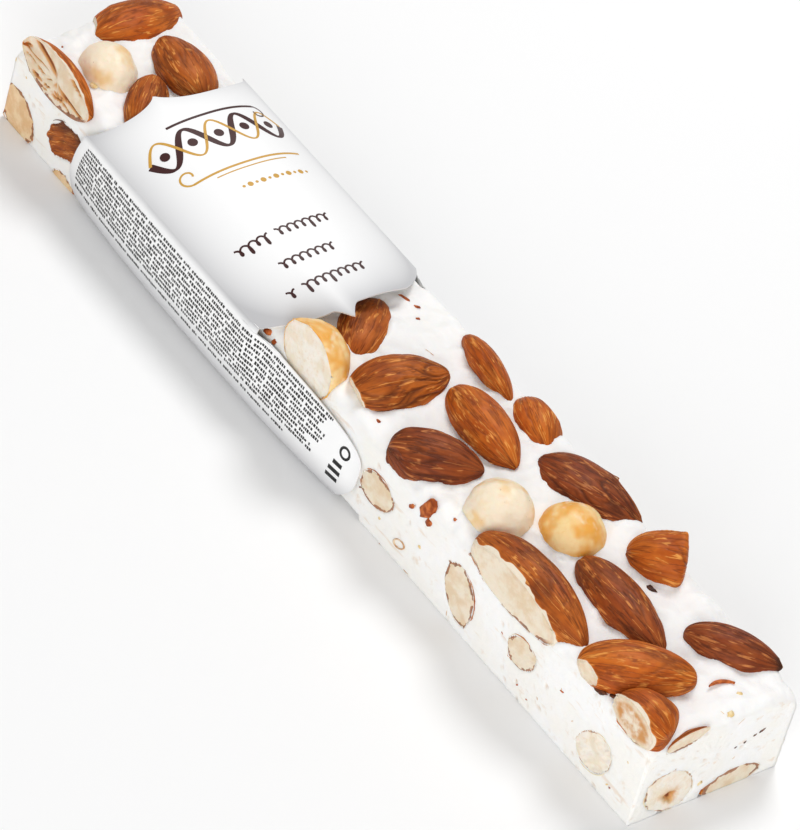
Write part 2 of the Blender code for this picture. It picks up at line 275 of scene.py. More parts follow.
class Nodes:
    """A node tree with short ways to add its nodes. Every input is a value or a socket."""

    def __init__(self, tree):
        self.tree = tree

    def join(self, value, socket):
        if isinstance(value, bpy.types.NodeSocket):
            self.tree.links.new(value, socket)
        else:
            socket.default_value = value

    def put(self, kind, settings=None, **inputs):
        """Adds a node. An input's name has _ for each space; a name like _0 is its number."""
        made = self.tree.nodes.new(kind)
        for key, value in (settings or {}).items():
            setattr(made, key, value)
        for key, value in inputs.items():
            self.join(value, made.inputs[int(key[1:]) if key[0] == "_" else key.replace("_", " ")])
        return made

    def math(self, operation, first, second=0.0, clamp=False):
        settings = {"operation": operation, "use_clamp": clamp}
        return self.put("ShaderNodeMath", settings, _0=first, _1=second).outputs[0]

    def plus(self, first, second, clamp=False):
        return self.math("ADD", first, second, clamp)

    def minus(self, first, second):
        return self.math("SUBTRACT", first, second)

    def times(self, first, second, clamp=True):
        return self.math("MULTIPLY", first, second, clamp)

    def between(self, value, low, high):
        """0 below low, 1 above high, eased between them."""
        settings = {"interpolation_type": "SMOOTHSTEP"}
        return self.put("ShaderNodeMapRange", settings, Value=value, _1=low, _2=high).outputs[0]

    def mixed(self, share, first, second):
        """first where share is 0, second where it is 1."""
        made = self.put("ShaderNodeMix", {"data_type": "RGBA"}, _0=share, _6=first, _7=second)
        return made.outputs[2]

    def attribute(self, name, output="Fac"):
        return self.put("ShaderNodeAttribute", {"attribute_name": name}).outputs[output]

    def place(self):
        return self.put("ShaderNodeTexCoord").outputs["Object"]

    def stretched(self, vector, scale, turn=(0.0, 0.0, 0.0)):
        return self.put("ShaderNodeMapping", Vector=vector, Rotation=turn, Scale=scale).outputs[0]

    def noise(self, vector, scale, detail=3.0, roughness=0.55):
        return self.put("ShaderNodeTexNoise", Vector=vector, Scale=scale, Detail=detail,
                        Roughness=roughness).outputs["Fac"]

    def patches(self, vector, scale, low, high, detail=3.0, roughness=0.55):
        """1 where the noise is above high, 0 where it is below low."""
        return self.between(self.noise(vector, scale, detail, roughness), low, high)


class Finish(Nodes):
    """A material: colours laid one over another, and a bump, on a Principled shader."""

    def __init__(self, name, ground, roughness, **settings):
        self.material = bpy.data.materials.new(name)
        self.material.use_nodes = True
        super().__init__(self.material.node_tree)
        self.sockets = self.tree.nodes["Principled BSDF"].inputs
        self.sockets["Roughness"].default_value = roughness
        for key, value in settings.items():
            self.sockets[key.replace("_", " ")].default_value = value
        self.tone = ground

    def lay(self, share, tint, strength=None):
        """Lays a colour over those before it, where share is above 0."""
        if strength is not None:
            share = self.times(share, strength)
        self.tone = self.mixed(share, self.tone, tint)

    def done(self, height=None, distance=0.0, strength=1.0):
        """The material, with its colours and a bump of this height joined to the shader."""
        self.join(self.tone, self.sockets["Base Color"])
        if height is not None:
            raised = self.put("ShaderNodeBump", Height=height, Distance=distance, Strength=strength)
            self.join(raised.outputs[0], self.sockets["Normal"])
        return self.material


# ---- finishes

FLESH_PALE = colour(238, 225, 204)
FLESH_CREAM = colour(228, 204, 172)
FLESH_TAN = colour(206, 146, 84)
CRACK_BROWN = colour(142, 76, 34)
CRACK_TAN = colour(216, 156, 94)
RIM_BROWN = colour(156, 90, 48)
RIM_DARK = colour(122, 64, 34)
HUSK_DARK = colour(66, 34, 20)
SOFT_FLESH = {"Subsurface_Weight": 0.2, "Subsurface_Scale": 0.001}


def fibre_group():
    """Marks that run along a kernel: fine fibre, thin light veins, dark lines and soft blotches."""
    group = bpy.data.node_groups.new("kernel_fibre", "ShaderNodeTree")
    group.interface.new_socket("Along", in_out="INPUT", socket_type="NodeSocketVector")
    for label in ("Fibre", "Vein", "Line", "Blotch"):
        group.interface.new_socket(label, in_out="OUTPUT", socket_type="NodeSocketFloat")
    n = Nodes(group)
    along, out = n.put("NodeGroupInput").outputs["Along"], n.put("NodeGroupOutput").inputs

    def grain(across, lengthways, detail, roughness=0.55):
        return n.noise(n.stretched(along, (across, across, lengthways)), 1.0, detail, roughness)

    def thread(value, level, low, high):
        return n.between(n.math("ABSOLUTE", n.minus(value, level)), low, high)

    broken = grain(2.6, 0.4, 2.0)
    veins = thread(grain(3.6, 0.11, 3.0, 0.5), 0.5, 0.034, 0.006)
    lines = thread(grain(4.4, 0.09, 3.0, 0.5), 0.47, 0.045, 0.004)
    n.join(grain(8, 0.5, 4.0, 0.6), out["Fibre"])
    n.join(n.times(veins, n.between(broken, 0.45, 0.58)), out["Vein"])
    n.join(n.times(lines, n.between(broken, 0.6, 0.44)), out["Line"])
    n.join(grain(1.2, 0.2, 3.0), out["Blotch"])
    return group


FIBRE = fibre_group()


def almond_skin(name, body, light, deep, vein, vein_share):
    """Roasted skin: soft blotches, painted shade in the grooves and thin light veins."""
    n = Finish(name, body, 0.45, Specular_IOR_Level=0.16)
    along = n.attribute("along", "Vector")
    fibre = n.put("ShaderNodeGroup", {"node_tree": FIBRE}, Along=along).outputs
    groove = n.times(n.attribute("groove"), 0.8)
    n.lay(n.between(fibre["Blotch"], 0.36, 0.62), light)
    n.lay(n.between(fibre["Fibre"], 0.45, 0.72), deep, 0.35)
    n.lay(fibre["Line"], deep, 0.6)
    # Painted shade: the grooves are darkened with the deep tone.
    n.lay(groove, deep)
    n.lay(n.times(n.times(fibre["Vein"], vein_share), n.minus(1.0, groove)), vein)
    n.lay(n.attribute("stain"), HUSK_DARK, 0.9)
    ragged = n.patches(n.place(), 260.0, 0.3, 0.68, 2.0, 0.5)
    torn = n.minus(n.times(ragged, n.attribute("torn_width"), False), n.attribute("off_cut"))
    n.lay(n.between(torn, -0.22, 0.0), vein, 0.4)
    n.lay(n.between(torn, -0.02, 0.06), FLESH_PALE)
    height = n.plus(fibre["Fibre"], n.times(fibre["Vein"], 0.4))
    rough = n.math("MULTIPLY_ADD", fibre["Fibre"], 0.3)
    rough.node.inputs[2].default_value = 0.34
    n.join(rough, n.sockets["Roughness"])
    return n.done(n.minus(height, n.times(fibre["Line"], 0.5)), 0.0001, 0.9)


def flesh(name, pale, cream, stain, rim=RIM_BROWN, rim_width=0.8):
    """Sawn kernel: pale flesh, stains and a thin broken rim of skin. rim_width is in mm."""
    n = Finish(name, pale, 0.5, Specular_IOR_Level=0.25, **SOFT_FLESH)
    place, crack = n.place(), n.attribute("crack")
    wide = n.noise(place, 380.0)
    fine = n.noise(place, 1500.0, 4.0, 0.6)
    n.lay(n.between(wide, 0.38, 0.66), cream)
    n.lay(n.between(fine, 0.5, 0.8), stain, 0.3)
    n.lay(n.times(n.attribute("stain"), n.between(wide, 0.3, 0.56)), stain)
    n.lay(n.between(crack, 0.05, 0.5), CRACK_TAN)
    n.lay(n.between(crack, 0.5, 0.9), CRACK_BROWN)
    reach = n.times(n.patches(place, 420.0, 0.34, 0.64), rim_width)
    edge = n.between(n.minus(n.attribute("inset"), reach), 0.06, -0.08)
    rim_tone = n.mixed(n.between(fine, 0.48, 0.6), rim, RIM_DARK)
    n.lay(n.times(n.times(edge, 0.85), n.attribute("buried")), rim_tone)
    return n.done(fine, 0.00012, 0.7)


def hazelnut_skin(name, pale, gold, gold_share):
    """A blanched, roasted hazelnut: cream with golden clouds, pale spots and a few dark specks."""
    n = Finish(name, pale, 0.42, Specular_IOR_Level=0.28, **SOFT_FLESH)
    place = n.place()
    fine = n.noise(place, 1100.0, 4.0, 0.6)
    low = 0.62 - gold_share * 0.3
    n.lay(n.patches(place, 240.0, low - 0.03, low + 0.2, 2.0, 0.5), gold)
    n.lay(n.between(fine, 0.5, 0.8), gold, 0.3)
    n.lay(n.patches(place, 380.0, 0.56, 0.72, 2.0), colour(252, 240, 214), 0.5)
    n.lay(n.patches(place, 1700.0, 0.74, 0.78, 2.0), colour(150, 104, 62), 0.6)
    folds = n.noise(place, 420.0, 2.0, 0.5)
    return n.done(n.plus(n.times(fine, 0.5), n.times(folds, 1.6, False)), 0.00018, 0.6)


def nougat_finish():
    """Soft white nougat, a little see-through, with faint warm marks on its sawn faces."""
    n = Finish("nougat_white", colour(252, 251, 249), 0.55, Specular_IOR_Level=0.3,
               Subsurface_Weight=0.3, Subsurface_Scale=0.0015, Subsurface_Radius=(1.0, 0.85, 0.7))
    place, sawn = n.place(), n.attribute("sawn")
    cloud = n.noise(place, 120.0)
    n.lay(n.between(cloud, 0.35, 0.7), colour(248, 246, 243))
    n.lay(n.times(sawn, n.between(cloud, 0.4, 0.62)), colour(250, 247, 241))
    dragged = n.stretched(place, (130, 420, 620), (0.0, 0.35, 0.0))
    streak = n.patches(dragged, 1.0, 0.6, 0.72, 3.0, 0.6)
    marks = n.patches(place, 300.0, 0.6, 0.76, 4.0, 0.65)
    n.lay(n.times(n.plus(streak, marks, True), n.times(sawn, 0.42)), colour(226, 198, 168))
    # Painted shade: the pits, hollows in the sawn faces, are darkened and warmed.
    n.lay(n.attribute("pit"), colour(216, 188, 160), 0.55)
    return n.done(n.noise(place, 700.0, 4.0, 0.6), 0.0002, 0.6)


def paper_finish():
    """White coated paper with painted shade: soft grey towards its borders, where the band curves away
    and turns under.
    """
    n = Finish("coated_paper", colour(253, 253, 253), 0.38, Specular_IOR_Level=0.4)
    # Painted shade: the grey laid by the shade attribute stands in for the band's shading at its
    # borders and foot.
    n.lay(n.attribute("shade"), colour(196, 196, 198))
    return n.done(n.noise(n.place(), 2600.0), 0.00002, 0.4)


def ink(name, tint):
    """Print on the paper, a little uneven in strength."""
    n = Finish(name, tint, 0.4, Specular_IOR_Level=0.35)
    lighter = [min(1.0, channel * 1.25 + 0.004) for channel in tint[:3]] + [1.0]
    n.lay(n.noise(n.place(), 1200.0, 2.0), lighter)
    return n.done()


def crumb_finish(name, dark, light):
    """A crumb in two tones, finely mottled."""
    n = Finish(name, dark, 0.55, Specular_IOR_Level=0.25)
    place = n.place()
    n.lay(n.patches(place, 900.0, 0.4, 0.62), light)
    return n.done(n.noise(place, 3000.0), 0.0001, 0.6)


# Each skin's body, light blotches, the deep tone that darkens fibre and lines and paints shade in the
# grooves, and veins.
ALMOND_TONES = {
    "mid": ((164, 79, 25), (188, 99, 33), (90, 40, 14), (232, 154, 76)),
    "orange": ((184, 86, 22), (207, 110, 34), (112, 49, 14), (238, 162, 78)),
    "russet": ((148, 68, 25), (170, 86, 33), (79, 35, 14), (228, 148, 76)),
    "dark": ((134, 60, 25), (154, 76, 33), (70, 30, 14), (212, 134, 74)),
}
SKINS = {
    tone: almond_skin("almond_skin_" + tone, *(colour(*tint) for tint in tints),
                      0.8 if tone == "dark" else 0.9)
    for tone, tints in ALMOND_TONES.items()
}
FLESHES = {
    "plain": flesh("almond_flesh", FLESH_PALE, FLESH_CREAM, FLESH_CREAM),
    "stained": flesh("almond_flesh_stained", FLESH_PALE, FLESH_CREAM, FLESH_TAN),
    "tan": flesh("almond_flesh_tan", colour(240, 212, 172), colour(226, 186, 138),
                 colour(206, 152, 96)),
    "hazel": flesh("hazelnut_flesh", colour(246, 238, 226), colour(240, 226, 204),
                   colour(222, 176, 122), colour(206, 160, 122), 0.4),
}
HAZELNUTS = {
    "pale": hazelnut_skin("hazelnut_cream", colour(248, 232, 206), colour(240, 204, 150), 0.3),
    "gold": hazelnut_skin("hazelnut_gold", colour(250, 218, 158), colour(238, 172, 76), 0.8),
}
NOUGAT_WHITE = nougat_finish()
PAPER_WHITE = paper_finish()
BROWN_INK = ink("brown_ink", colour(58, 22, 20))
GOLD_INK = ink("gold_ink", colour(196, 150, 62))
BLACK_INK = ink("black_ink", colour(22, 20, 20))

# ---- kernels

# Kernels whose skin isn't the middle tone, and hazelnuts that aren't golden.
SKIN_TONES = {
    "dark": {"almond_dark_left", "almond_dark_far", "almond_front_dark"},
    "russet": {"almond_between"},
    "orange": {"almond_rear_top", "almond_front_middle", "almond_front_chunk", "almond_half_far",
               "almond_far_edge", "almond_middle", "almond_rear_split", "almond_far_cut"},
}
PALE_HAZELNUTS = {"hazelnut_pale", "hazelnut_rear", "hazelnut_side", "hazelnut_front",
                  "hazelnut_back_front", "hazelnut_end_rear"}
# Sawn faces that are stained or tan, and how deep the wrinkles are where not as usual.
STAINED = {"almond_front_chunk"}
TAN_FLESH = {"almond_side_corner", "almond_side_low", "almond_end_rear"}
USUAL_WRINKLES = 0.6
WRINKLED = {"almond_middle_cut": 1.5, "almond_dark_far": 1.2, "almond_dark_left": 1.1,
            "almond_half_far": 1.3}
# How wide the skin is torn away along the cut, in mm, where it isn't the usual thin line.
USUAL_TORN = 0.22
TORN = {"almond_big_sawn": 0.9, "almond_front_chunk": 0.7, "almond_front_middle": 0.6,
        "almond_middle_cut": 0.5, "almond_rear_split": 0.6}
# Kernels whose flat side is brown skin pressed against the saw's path, not flesh.
HUSKED = {"almond_side_brown"}
SPLIT = {"almond_rear_split"}
HOLLOWED = {"hazelnut_front"}
# Where a dark tip begins along the kernel, in mm from its middle.
DARK_TIPPED = {"almond_front_dark": 6.2}
# How uneven a sawn face is, in mm, where it was torn rather than cut.
USUAL_UNEVEN = 0.06
UNEVEN = {"hazelnut_side": 0.45, "hazelnut_band": 0.2, "almond_side_middle": 0.2}
# Breaks that show flesh, and the fewest corners such a face has. Skin closes every other break.
OPEN_BREAKS = {"almond_middle_cut", "almond_rear_top"}
SMALLEST_BREAK = 6
# Kernels with a broken end that only just reaches a sawn plane, across this axis: skin closes it.
SKINNED = {"almond_dark_left": 1, "almond_front_chunk": 0}
SUBDIVISIONS = 4
SHARP_CUT = math.radians(50)
SEED_STEP = 7.77
# The level in mm at which a sawn face comes out of the nougat.
OPEN_AIR = (14.4, 15.4)
# Distances in mm that stand for no cut near by, and how far the nougat looks for a nut.
NO_CUT = 20.0
FAR_FROM_CUT = 9.0
NUT_SEARCH = 9.0


def sawn_axis(face):
    """The axis across the bar's sawn plane that a face lies in, or None."""
    for axis, height in ((1, SIDE), (0, END), (2, 0.0)):
        if all(abs(abs(vert.co[axis]) - height) < 0.01 * MM for vert in face.verts):
            return axis
    return None


def solid_of(node):
    """The mesh of one node of the CAD."""
    bm = bmesh.new()
    bm.from_mesh(frame["nodes"][node].data)
    return bm


def cage_of(node):
    """The kernel's solid with its triangles merged back into whole faces; cuts have material 1."""
    bm = solid_of(node)
    bmesh.ops.remove_doubles(bm, verts=bm.verts, dist=0.002 * MM)
    bmesh.ops.dissolve_limit(bm, angle_limit=math.radians(0.4), verts=bm.verts, edges=bm.edges)
    for face in bm.faces:
        axis = sawn_axis(face)
        broken = node in OPEN_BREAKS and len(face.verts) >= SMALLEST_BREAK
        sawn = axis is not None and SKINNED.get(node) != axis
        face.material_index = 1 if sawn or broken else 0
    return bm


def kernel_line(bm):
    """A point on the kernel's long axis and the axis itself, from a pole if one is left."""
    for vert in bm.verts:
        fan = vert.link_faces
        if len(fan) >= 7 and all(len(face.verts) == 3 for face in fan):
            normal = sum((face.normal * face.calc_area() for face in fan), Vector())
            return vert.co.copy(), normal.normalized()
    points = np.array([vert.co for vert in bm.verts])
    centre = points.mean(axis=0)
    return Vector(centre), Vector(np.linalg.svd(points - centre)[2][0])


def smooth_through(bm, name, levels):
    """Catmull-Clark that passes through the cage's own points and keeps its cuts sharp."""
    crease = bm.edges.layers.float.get("crease_edge") or bm.edges.layers.float.new("crease_edge")
    for edge in bm.edges:
        if any(face.material_index for face in edge.link_faces):
            edge[crease] = 1.0
    mesh = bpy.data.meshes.new(name)
    bm.to_mesh(mesh)
    bm.free()
    obj = link_object(name, mesh)
    target = points_of(mesh)
    subdivision = obj.modifiers.new("smooth", "SUBSURF")
    subdivision.levels = subdivision.render_levels = 1
    for _ in range(8):
        bpy.context.view_layer.update()
        shown = obj.evaluated_get(bpy.context.evaluated_depsgraph_get()).data
        reached = points_of(shown)[: len(target)]
        set_points(mesh, points_of(mesh) + (target - reached))
    subdivision.levels = subdivision.render_levels = levels
    return made_real(obj, name)


def cut_distance(mesh):
    """Each vertex's distance from the edge of the cut in mm, above 0 on the cut, below on the skin."""
    on_cut = np.zeros(len(mesh.vertices), bool)
    on_skin = np.zeros(len(mesh.vertices), bool)
    for face in mesh.polygons:
        (on_cut if face.material_index else on_skin)[list(face.vertices)] = True
    edge = np.nonzero(on_cut & on_skin)[0]
    points = points_of(mesh)
    if not len(edge):
        return np.full(len(points), -NO_CUT)
    tree = KDTree(len(edge))
    for place, index in enumerate(edge):
        tree.insert(points[index], place)
    tree.balance()
    away = np.array([tree.find(point)[2] for point in points]) / MM
    return np.where(on_cut, away, -away)


def flat_axes(points):
    """The two directions in which the points spread most."""
    return np.linalg.svd(points, full_matrices=False)[2][:2]


def kernel_space(points, start, axis, on_cut):
    """(cos, sin, mm along) of each point about the kernel's axis; on a cut, flat places instead."""
    start, axis = np.array(start), np.array(axis)
    rel = points - start
    along = rel @ axis
    across = rel - np.outer(along, axis)
    flat = across @ flat_axes(across - across.mean(axis=0)).T
    flat = flat / np.maximum(flat.std(axis=0), 1e-6)
    length = np.maximum(np.linalg.norm(flat, axis=1, keepdims=True), 1e-6)
    return np.column_stack([np.where(on_cut[:, None], flat, flat / length), along / MM])


def skin_share(cut):
    """0 on a cut, rising to 1 a little way into the skin."""
    return np.clip(-cut / 0.6, 0, 1)


def wrinkle(mesh, space, depth, seed, cut, everywhere=False):
    """Grooves and soft dents along the kernel; returns how deep each point lies, 0 to 1."""
    wander = noise(space * (1.2, 1.2, 0.14) + seed) * 0.4
    turned = space + np.column_stack([wander, -wander, np.zeros(len(space))])
    coarse = creases(turned * (2.6, 2.6, 0.085) + seed)
    fine = creases(turned * (5.2, 5.2, 0.16) + seed + 9)
    strong = eased(noise(space * (0.9, 0.9, 0.1) + seed + 31), -0.35, 0.45)
    groove = np.clip(coarse * (0.35 + 0.65 * strong) + 0.45 * fine * (0.3 + 0.7 * strong), 0, 1)
    dents = layered(space * (1.0, 1.0, 0.16) + seed + 57, 2)
    fade = np.ones(len(cut)) if everywhere else skin_share(cut)
    move = (-0.17 * groove * depth + 0.1 * dents - 0.03) * fade
    if everywhere:
        move = np.clip(1.6 * move, -0.22, 0.0) - 0.04
    push_out(mesh, move)
    return groove * fade * min(1.0, 0.4 + 0.6 * depth)


def splinter(mesh, cut, space, seed, depth):
    """A sawn face isn't quite even: shallow steps along the kernel, and a rim below the cut."""
    steps = layered(space * (1.5, 1.5, 0.25) + seed, 3)
    sunk = np.abs(steps) * depth * eased(cut, 0.1, 0.7) + 0.15 * (1 - eased(cut, 0.0, 0.5))
    push_out(mesh, -sunk * (cut >= 0))


def split_open(mesh, cut, space, seed):
    """Long cracks down a split kernel's face; returns how deep each point lies, 0 to 1."""
    wander = noise(space * (0.5, 0.5, 0.13) + seed + 2) * 0.7
    lines = creases((space + wander[:, None] * (1, 0.4, 0)) * (1.15, 1.15, 0.06) + seed + 4)
    crack = eased(lines, 0.5, 1.0) * eased(cut, 0.25, 0.8)
    folds = layered(space * (0.7, 0.7, 0.08) + seed + 9, 2)
    rough = np.maximum(0.0, 0.2 - 0.4 * folds) * eased(cut, 0.1, 0.8)
    push_out(mesh, -(0.45 * crack + rough))
    return crack


def hollow_out(mesh, cut):
    """A star-shaped hollow in the middle of a sawn hazelnut, and the stain round it."""
    points = points_of(mesh)
    face = points[cut > 0]
    middle = face.mean(axis=0)
    flat = (points - middle) @ flat_axes(face - middle).T / MM
    angle = np.arctan2(flat[:, 1], flat[:, 0])
    reach = 0.75 + 0.5 * np.cos(1.5 * angle + 0.6) ** 8 + 0.25 * np.cos(2.5 * angle) ** 4
    inside = reach - np.linalg.norm(flat, axis=1)
    hollow = eased(inside, -0.15, 0.3) * (cut > 0)
    push_out(mesh, -0.9 * hollow)
    return hollow, eased(inside, -1.7, 0.0) * (cut > 0)


def dark_tip(mesh, axis, start):
    """1 beyond start, in mm from the kernel's middle towards the bar's front, 0 before it."""
    points = points_of(mesh)
    reached = (points - points.mean(axis=0)) @ np.array(axis) / MM
    reached = reached * math.copysign(1, axis.x) + 0.8 * noise(points / (1.5 * MM))
    return eased(reached, start - 0.8, start + 0.8)


def kernel_materials(node):
    """The skin and the flesh of one kernel."""
    if node.startswith("hazelnut"):
        return HAZELNUTS["pale" if node in PALE_HAZELNUTS else "gold"], FLESHES["hazel"]
    skin = SKINS[next((tone for tone, nodes in SKIN_TONES.items() if node in nodes), "mid")]
    if node in HUSKED:
        return skin, skin
    return skin, FLESHES["stained" if node in STAINED else "tan" if node in TAN_FLESH else "plain"]


def dress_kernel(node, number, slot):
    """The finished kernel that stands for one solid."""
    bm = cage_of(node)
    bm.normal_update()
    start, axis = kernel_line(bm)
    obj = smooth_through(bm, node + ".kernel", SUBDIVISIONS)
    mesh = obj.data
    cut = cut_distance(mesh)
    seed = number * SEED_STEP
    space = kernel_space(points_of(mesh), start, axis, cut > 0)
    groove, crack = np.zeros(len(cut)), np.zeros(len(cut))
    stain = eased(cut, 0.4, 1.3) * (node in STAINED)
    if node.startswith("almond"):
        depth = WRINKLED.get(node, USUAL_WRINKLES)
        groove = wrinkle(mesh, space, depth, seed, cut, node in HUSKED)
    else:
        dents = layered(points_of(mesh) / (3.5 * MM) + seed, 3)
        push_out(mesh, 0.2 * (dents - 0.25) * skin_share(cut))
    if node in HUSKED:
        high = points_of(mesh)[:, 2]
        stain = eased(high / MM + 1.5 * noise(space * (1, 1, 0.3)), 7.5, 10.0) * 0.85
    elif node in SPLIT:
        crack = split_open(mesh, cut, space, seed)
    else:
        splinter(mesh, cut, space, seed, UNEVEN.get(node, USUAL_UNEVEN))
    if node in HOLLOWED:
        crack, stain = hollow_out(mesh, cut)
    if node in DARK_TIPPED:
        stain = dark_tip(mesh, axis, DARK_TIPPED[node])
    keep_inside(mesh)
    for name, values in (
        ("groove", groove), ("crack", crack), ("stain", stain), ("inset", np.maximum(cut, 0)),
        ("buried", 1 - 0.9 * eased(points_of(mesh)[:, 2] / MM, *OPEN_AIR)),
        ("off_cut", np.where(cut < 0, -cut, 0) + FAR_FROM_CUT * (node in HUSKED)),
        ("torn_width", np.full(len(cut), TORN.get(node, USUAL_TORN))),
    ):
        set_number(mesh, name, values)
    set_vector(mesh, "along", space + np.array([seed, 0, 0]))
    for material in kernel_materials(node):
        mesh.materials.append(material)
    mesh.shade_smooth()
    mesh.set_sharp_from_angle(angle=SHARP_CUT)
    return own(obj, slot, node)


def skins_tree(nodes):
    """A search tree over the skins of these solids, leaving out their sawn faces."""
    points, faces = [], []
    for node in nodes:
        bm = solid_of(node)
        base = len(points)
        points += [vert.co.copy() for vert in bm.verts]
        faces += [[base + vert.index for vert in face.verts] for face in bm.faces
                  if sawn_axis(face) is None]
        bm.free()
    return BVHTree.FromPolygons(points, faces)


# ---- nougat


def top_height(x, y):
    """The top of the nougat before the kernels push it about; x and y are arrays in metres."""
    swell = np.sin(x / (9 * MM) + 1.3) * np.cos(y / (7 * MM) + x / (31 * MM))
    swell = swell + 0.7 * np.sin(x / (21 * MM) - y / (5 * MM))
    ridge = 0.9 * MM * np.exp(-(((x - 66 * MM) / (9 * MM)) ** 2) - ((y - 12 * MM) / (4 * MM)) ** 2)
    reach = np.where(x > 0, 2.2 * MM, 4.0 * MM)
    drop = np.where(x > 0, 1.3 * MM, 2.2 * MM)
    softened = drop * np.maximum(0, 1 - (END - np.abs(x)) / reach) ** 2
    return TOP_LEVEL + 0.35 * MM * swell + ridge - softened


def bar_loop(x):
    """The outline across the bar at x as rows of (x, y, z), once round from the base's near edge."""
    base = CHANNEL_DEPTH if CHANNEL_REAR < x < CHANNEL_FRONT else 0.0
    out_of_band = np.clip((abs(x - ROUNDED_MIDDLE) - ROUNDED_REACH) / ROUNDED_FADE, 0, 1)
    radius = EDGE_RADIUS_IN_BAND + (EDGE_RADIUS - EDGE_RADIUS_IN_BAND) * out_of_band
    inner = SIDE - radius
    low = top_height(np.array([x, x]), np.array([inner, -inner])).min() - radius
    quarter = np.linspace(0, math.pi / 2, CORNER_POINTS)
    corner_y, corner_z = radius * np.cos(quarter), radius * np.sin(quarter)
    across = np.linspace(inner, -inner, LID_POINTS + 2)[1:-1]
    blend = np.sin(np.linspace(0, math.pi, LID_POINTS + 2)[1:-1]) ** 0.5
    lid = low + radius + (top_height(np.full(LID_POINTS, x), across) - low - radius) * blend
    base_y = np.linspace(BASE_BEVEL - SIDE, SIDE - BASE_BEVEL, BASE_POINTS)
    side_z = np.linspace(base + BASE_BEVEL, low, SIDE_POINTS + 1)[:-1]
    side_y = np.full(SIDE_POINTS, SIDE)
    y = np.concatenate([base_y, side_y, inner + corner_y, across, -inner - corner_z, -side_y])
    z = np.concatenate([np.full(BASE_POINTS, base), side_z, low + corner_z, lid, low + corner_y,
                        side_z[::-1]])
    return np.column_stack([np.full(len(y), x), y, z])


def bar_stations():
    """Places along the bar, closer where it shows than under the band."""
    fixed = [-END, CHANNEL_REAR, CHANNEL_REAR + CHANNEL_SLOPE, COARSE_REAR, COARSE_FRONT,
             CHANNEL_FRONT - CHANNEL_SLOPE, CHANNEL_FRONT, END]
    steps = [0.4, 0.4, 0.5, 1.4, 0.42, 0.4, 0.37]
    places = []
    for low, high, step in zip(fixed, fixed[1:], steps):
        count = max(1, round((high - low) / (step * MM)))
        places += list(low + (high - low) * np.arange(count) / count)
    return places + [END]


def bar_skin():
    """Points and faces of the whole bar: loops along it, and rings that close its two ends."""
    loops = [bar_loop(x) for x in bar_stations()]
    caps = []
    for end in (loops[0], loops[-1]):
        middle = np.array([end[0, 0], 0.0, TOP_LEVEL / 2])
        caps.append([middle + (end - middle) * (1 - ring / END_RINGS)
                     for ring in range(1, END_RINGS)])
    loops = caps[0][::-1] + loops + caps[1]
    size, last = len(loops[0]), (len(loops) - 1) * len(loops[0])
    faces = grid_faces(len(loops), size, closed_columns=True)
    faces += [tuple(range(size))[::-1], tuple(range(last, last + size))]
    return np.concatenate(loops), faces


def nougat_relief(points, normals, kernels):
    """How far each point of the bar moves along its normal in mm, with its sawn and pit marks and
    its distance from the nearest nut in mm, below 0 inside it."""
    up = eased(normals[:, 2], 0.35, 0.85)
    rough = 0.6 * layered(points / (4.6 * MM), 2) + 0.13 * layered(points / (1.6 * MM) + 8, 3)
    off = np.full(len(points), NUT_SEARCH)
    for index, point in enumerate(points):
        place, normal, _, distance = kernels.find_nearest(Vector(point), NUT_SEARCH * MM)
        if place is not None:
            inside = (Vector(point) - place).dot(normal) < 0
            off[index] = (-distance if inside else distance) / MM
    lip = np.exp(-np.abs(off) / 0.9) * (0.3 + 0.25 * noise(points / (2.6 * MM) + 5))
    drag = 0.06 * np.abs(noise(points / np.array([8.0, 8.0, 0.7]) / MM + 3))
    bubbles = eased(noise(points / (1.2 * MM) + 40), 0.42, 0.75)
    pits = bubbles * eased(noise(points / (6 * MM) + 2), -0.15, 0.35) * (off > 0.3)
    within = np.maximum(-off, 0)
    top_move = rough + lip - 0.3 * pits * up - eased(within, 0.3, 1.3) * np.minimum(0.4 + within, 2.0)
    side_move = -drag - 0.3 * pits - 0.09 * np.abs(layered(points / (2.0 * MM) + 11, 3))
    cover = 0.1 + 0.2 * noise(points / (1.6 * MM) + 71)
    sink = eased(within, cover, cover + 0.4) * np.minimum(0.5 + within, 1.7)
    side_move = np.where(off < 0, -0.03 - sink, side_move)
    move = top_move * up + side_move * (1 - up)
    base = normals[:, 2] < -0.5
    return np.where(base, 0.0, move), (1 - up) * ~base, pits * (1 - up), off


def dress_nougat(kernels):
    """The bar's body. Crumbs lie on it where it is bare and outside the band, fewer on top."""
    obj = new_mesh_object("nougat_body", *bar_skin(), NOUGAT_WHITE)
    mesh = obj.data
    points, normals = points_of(mesh), normals_of(mesh)
    move, sawn, pits, off = nougat_relief(points, normals, kernels)
    low, high = np.array(BAR_LOW), np.array([END, SIDE, CAD_HIGH.z])
    set_points(mesh, np.clip(points + normals * (move * MM)[:, None], low, high))
    covered = (points[:, 0] > COVERED_REAR) & (points[:, 0] < COVERED_FRONT)
    free = (off > 0.7) & ~covered & (normals[:, 2] > -0.5)
    set_number(mesh, "sawn", sawn)
    set_number(mesh, "pit", pits)
    set_number(mesh, "crumb_place", free * np.where(normals[:, 2] > 0.6, 0.35, 1.0))
    return own(obj, "nougat", "nougat")


# ---- paper band


def crown(y):
    """The height of the top panel at y."""
    return FOLD_Z + (CROWN_Z - FOLD_Z) * (1 - np.abs(y / FOLD_Y) ** CROWN_POWER)


def belly(x):
    """How far the side panels swell: most in the middle of the band."""
    middle, half = (PANEL_REAR + PANEL_FRONT) / 2, (PANEL_FRONT - PANEL_REAR) / 2
    return PANEL_BULGE * np.maximum(0, 1 - np.abs((x - middle) / half) ** BULGE_POWER)


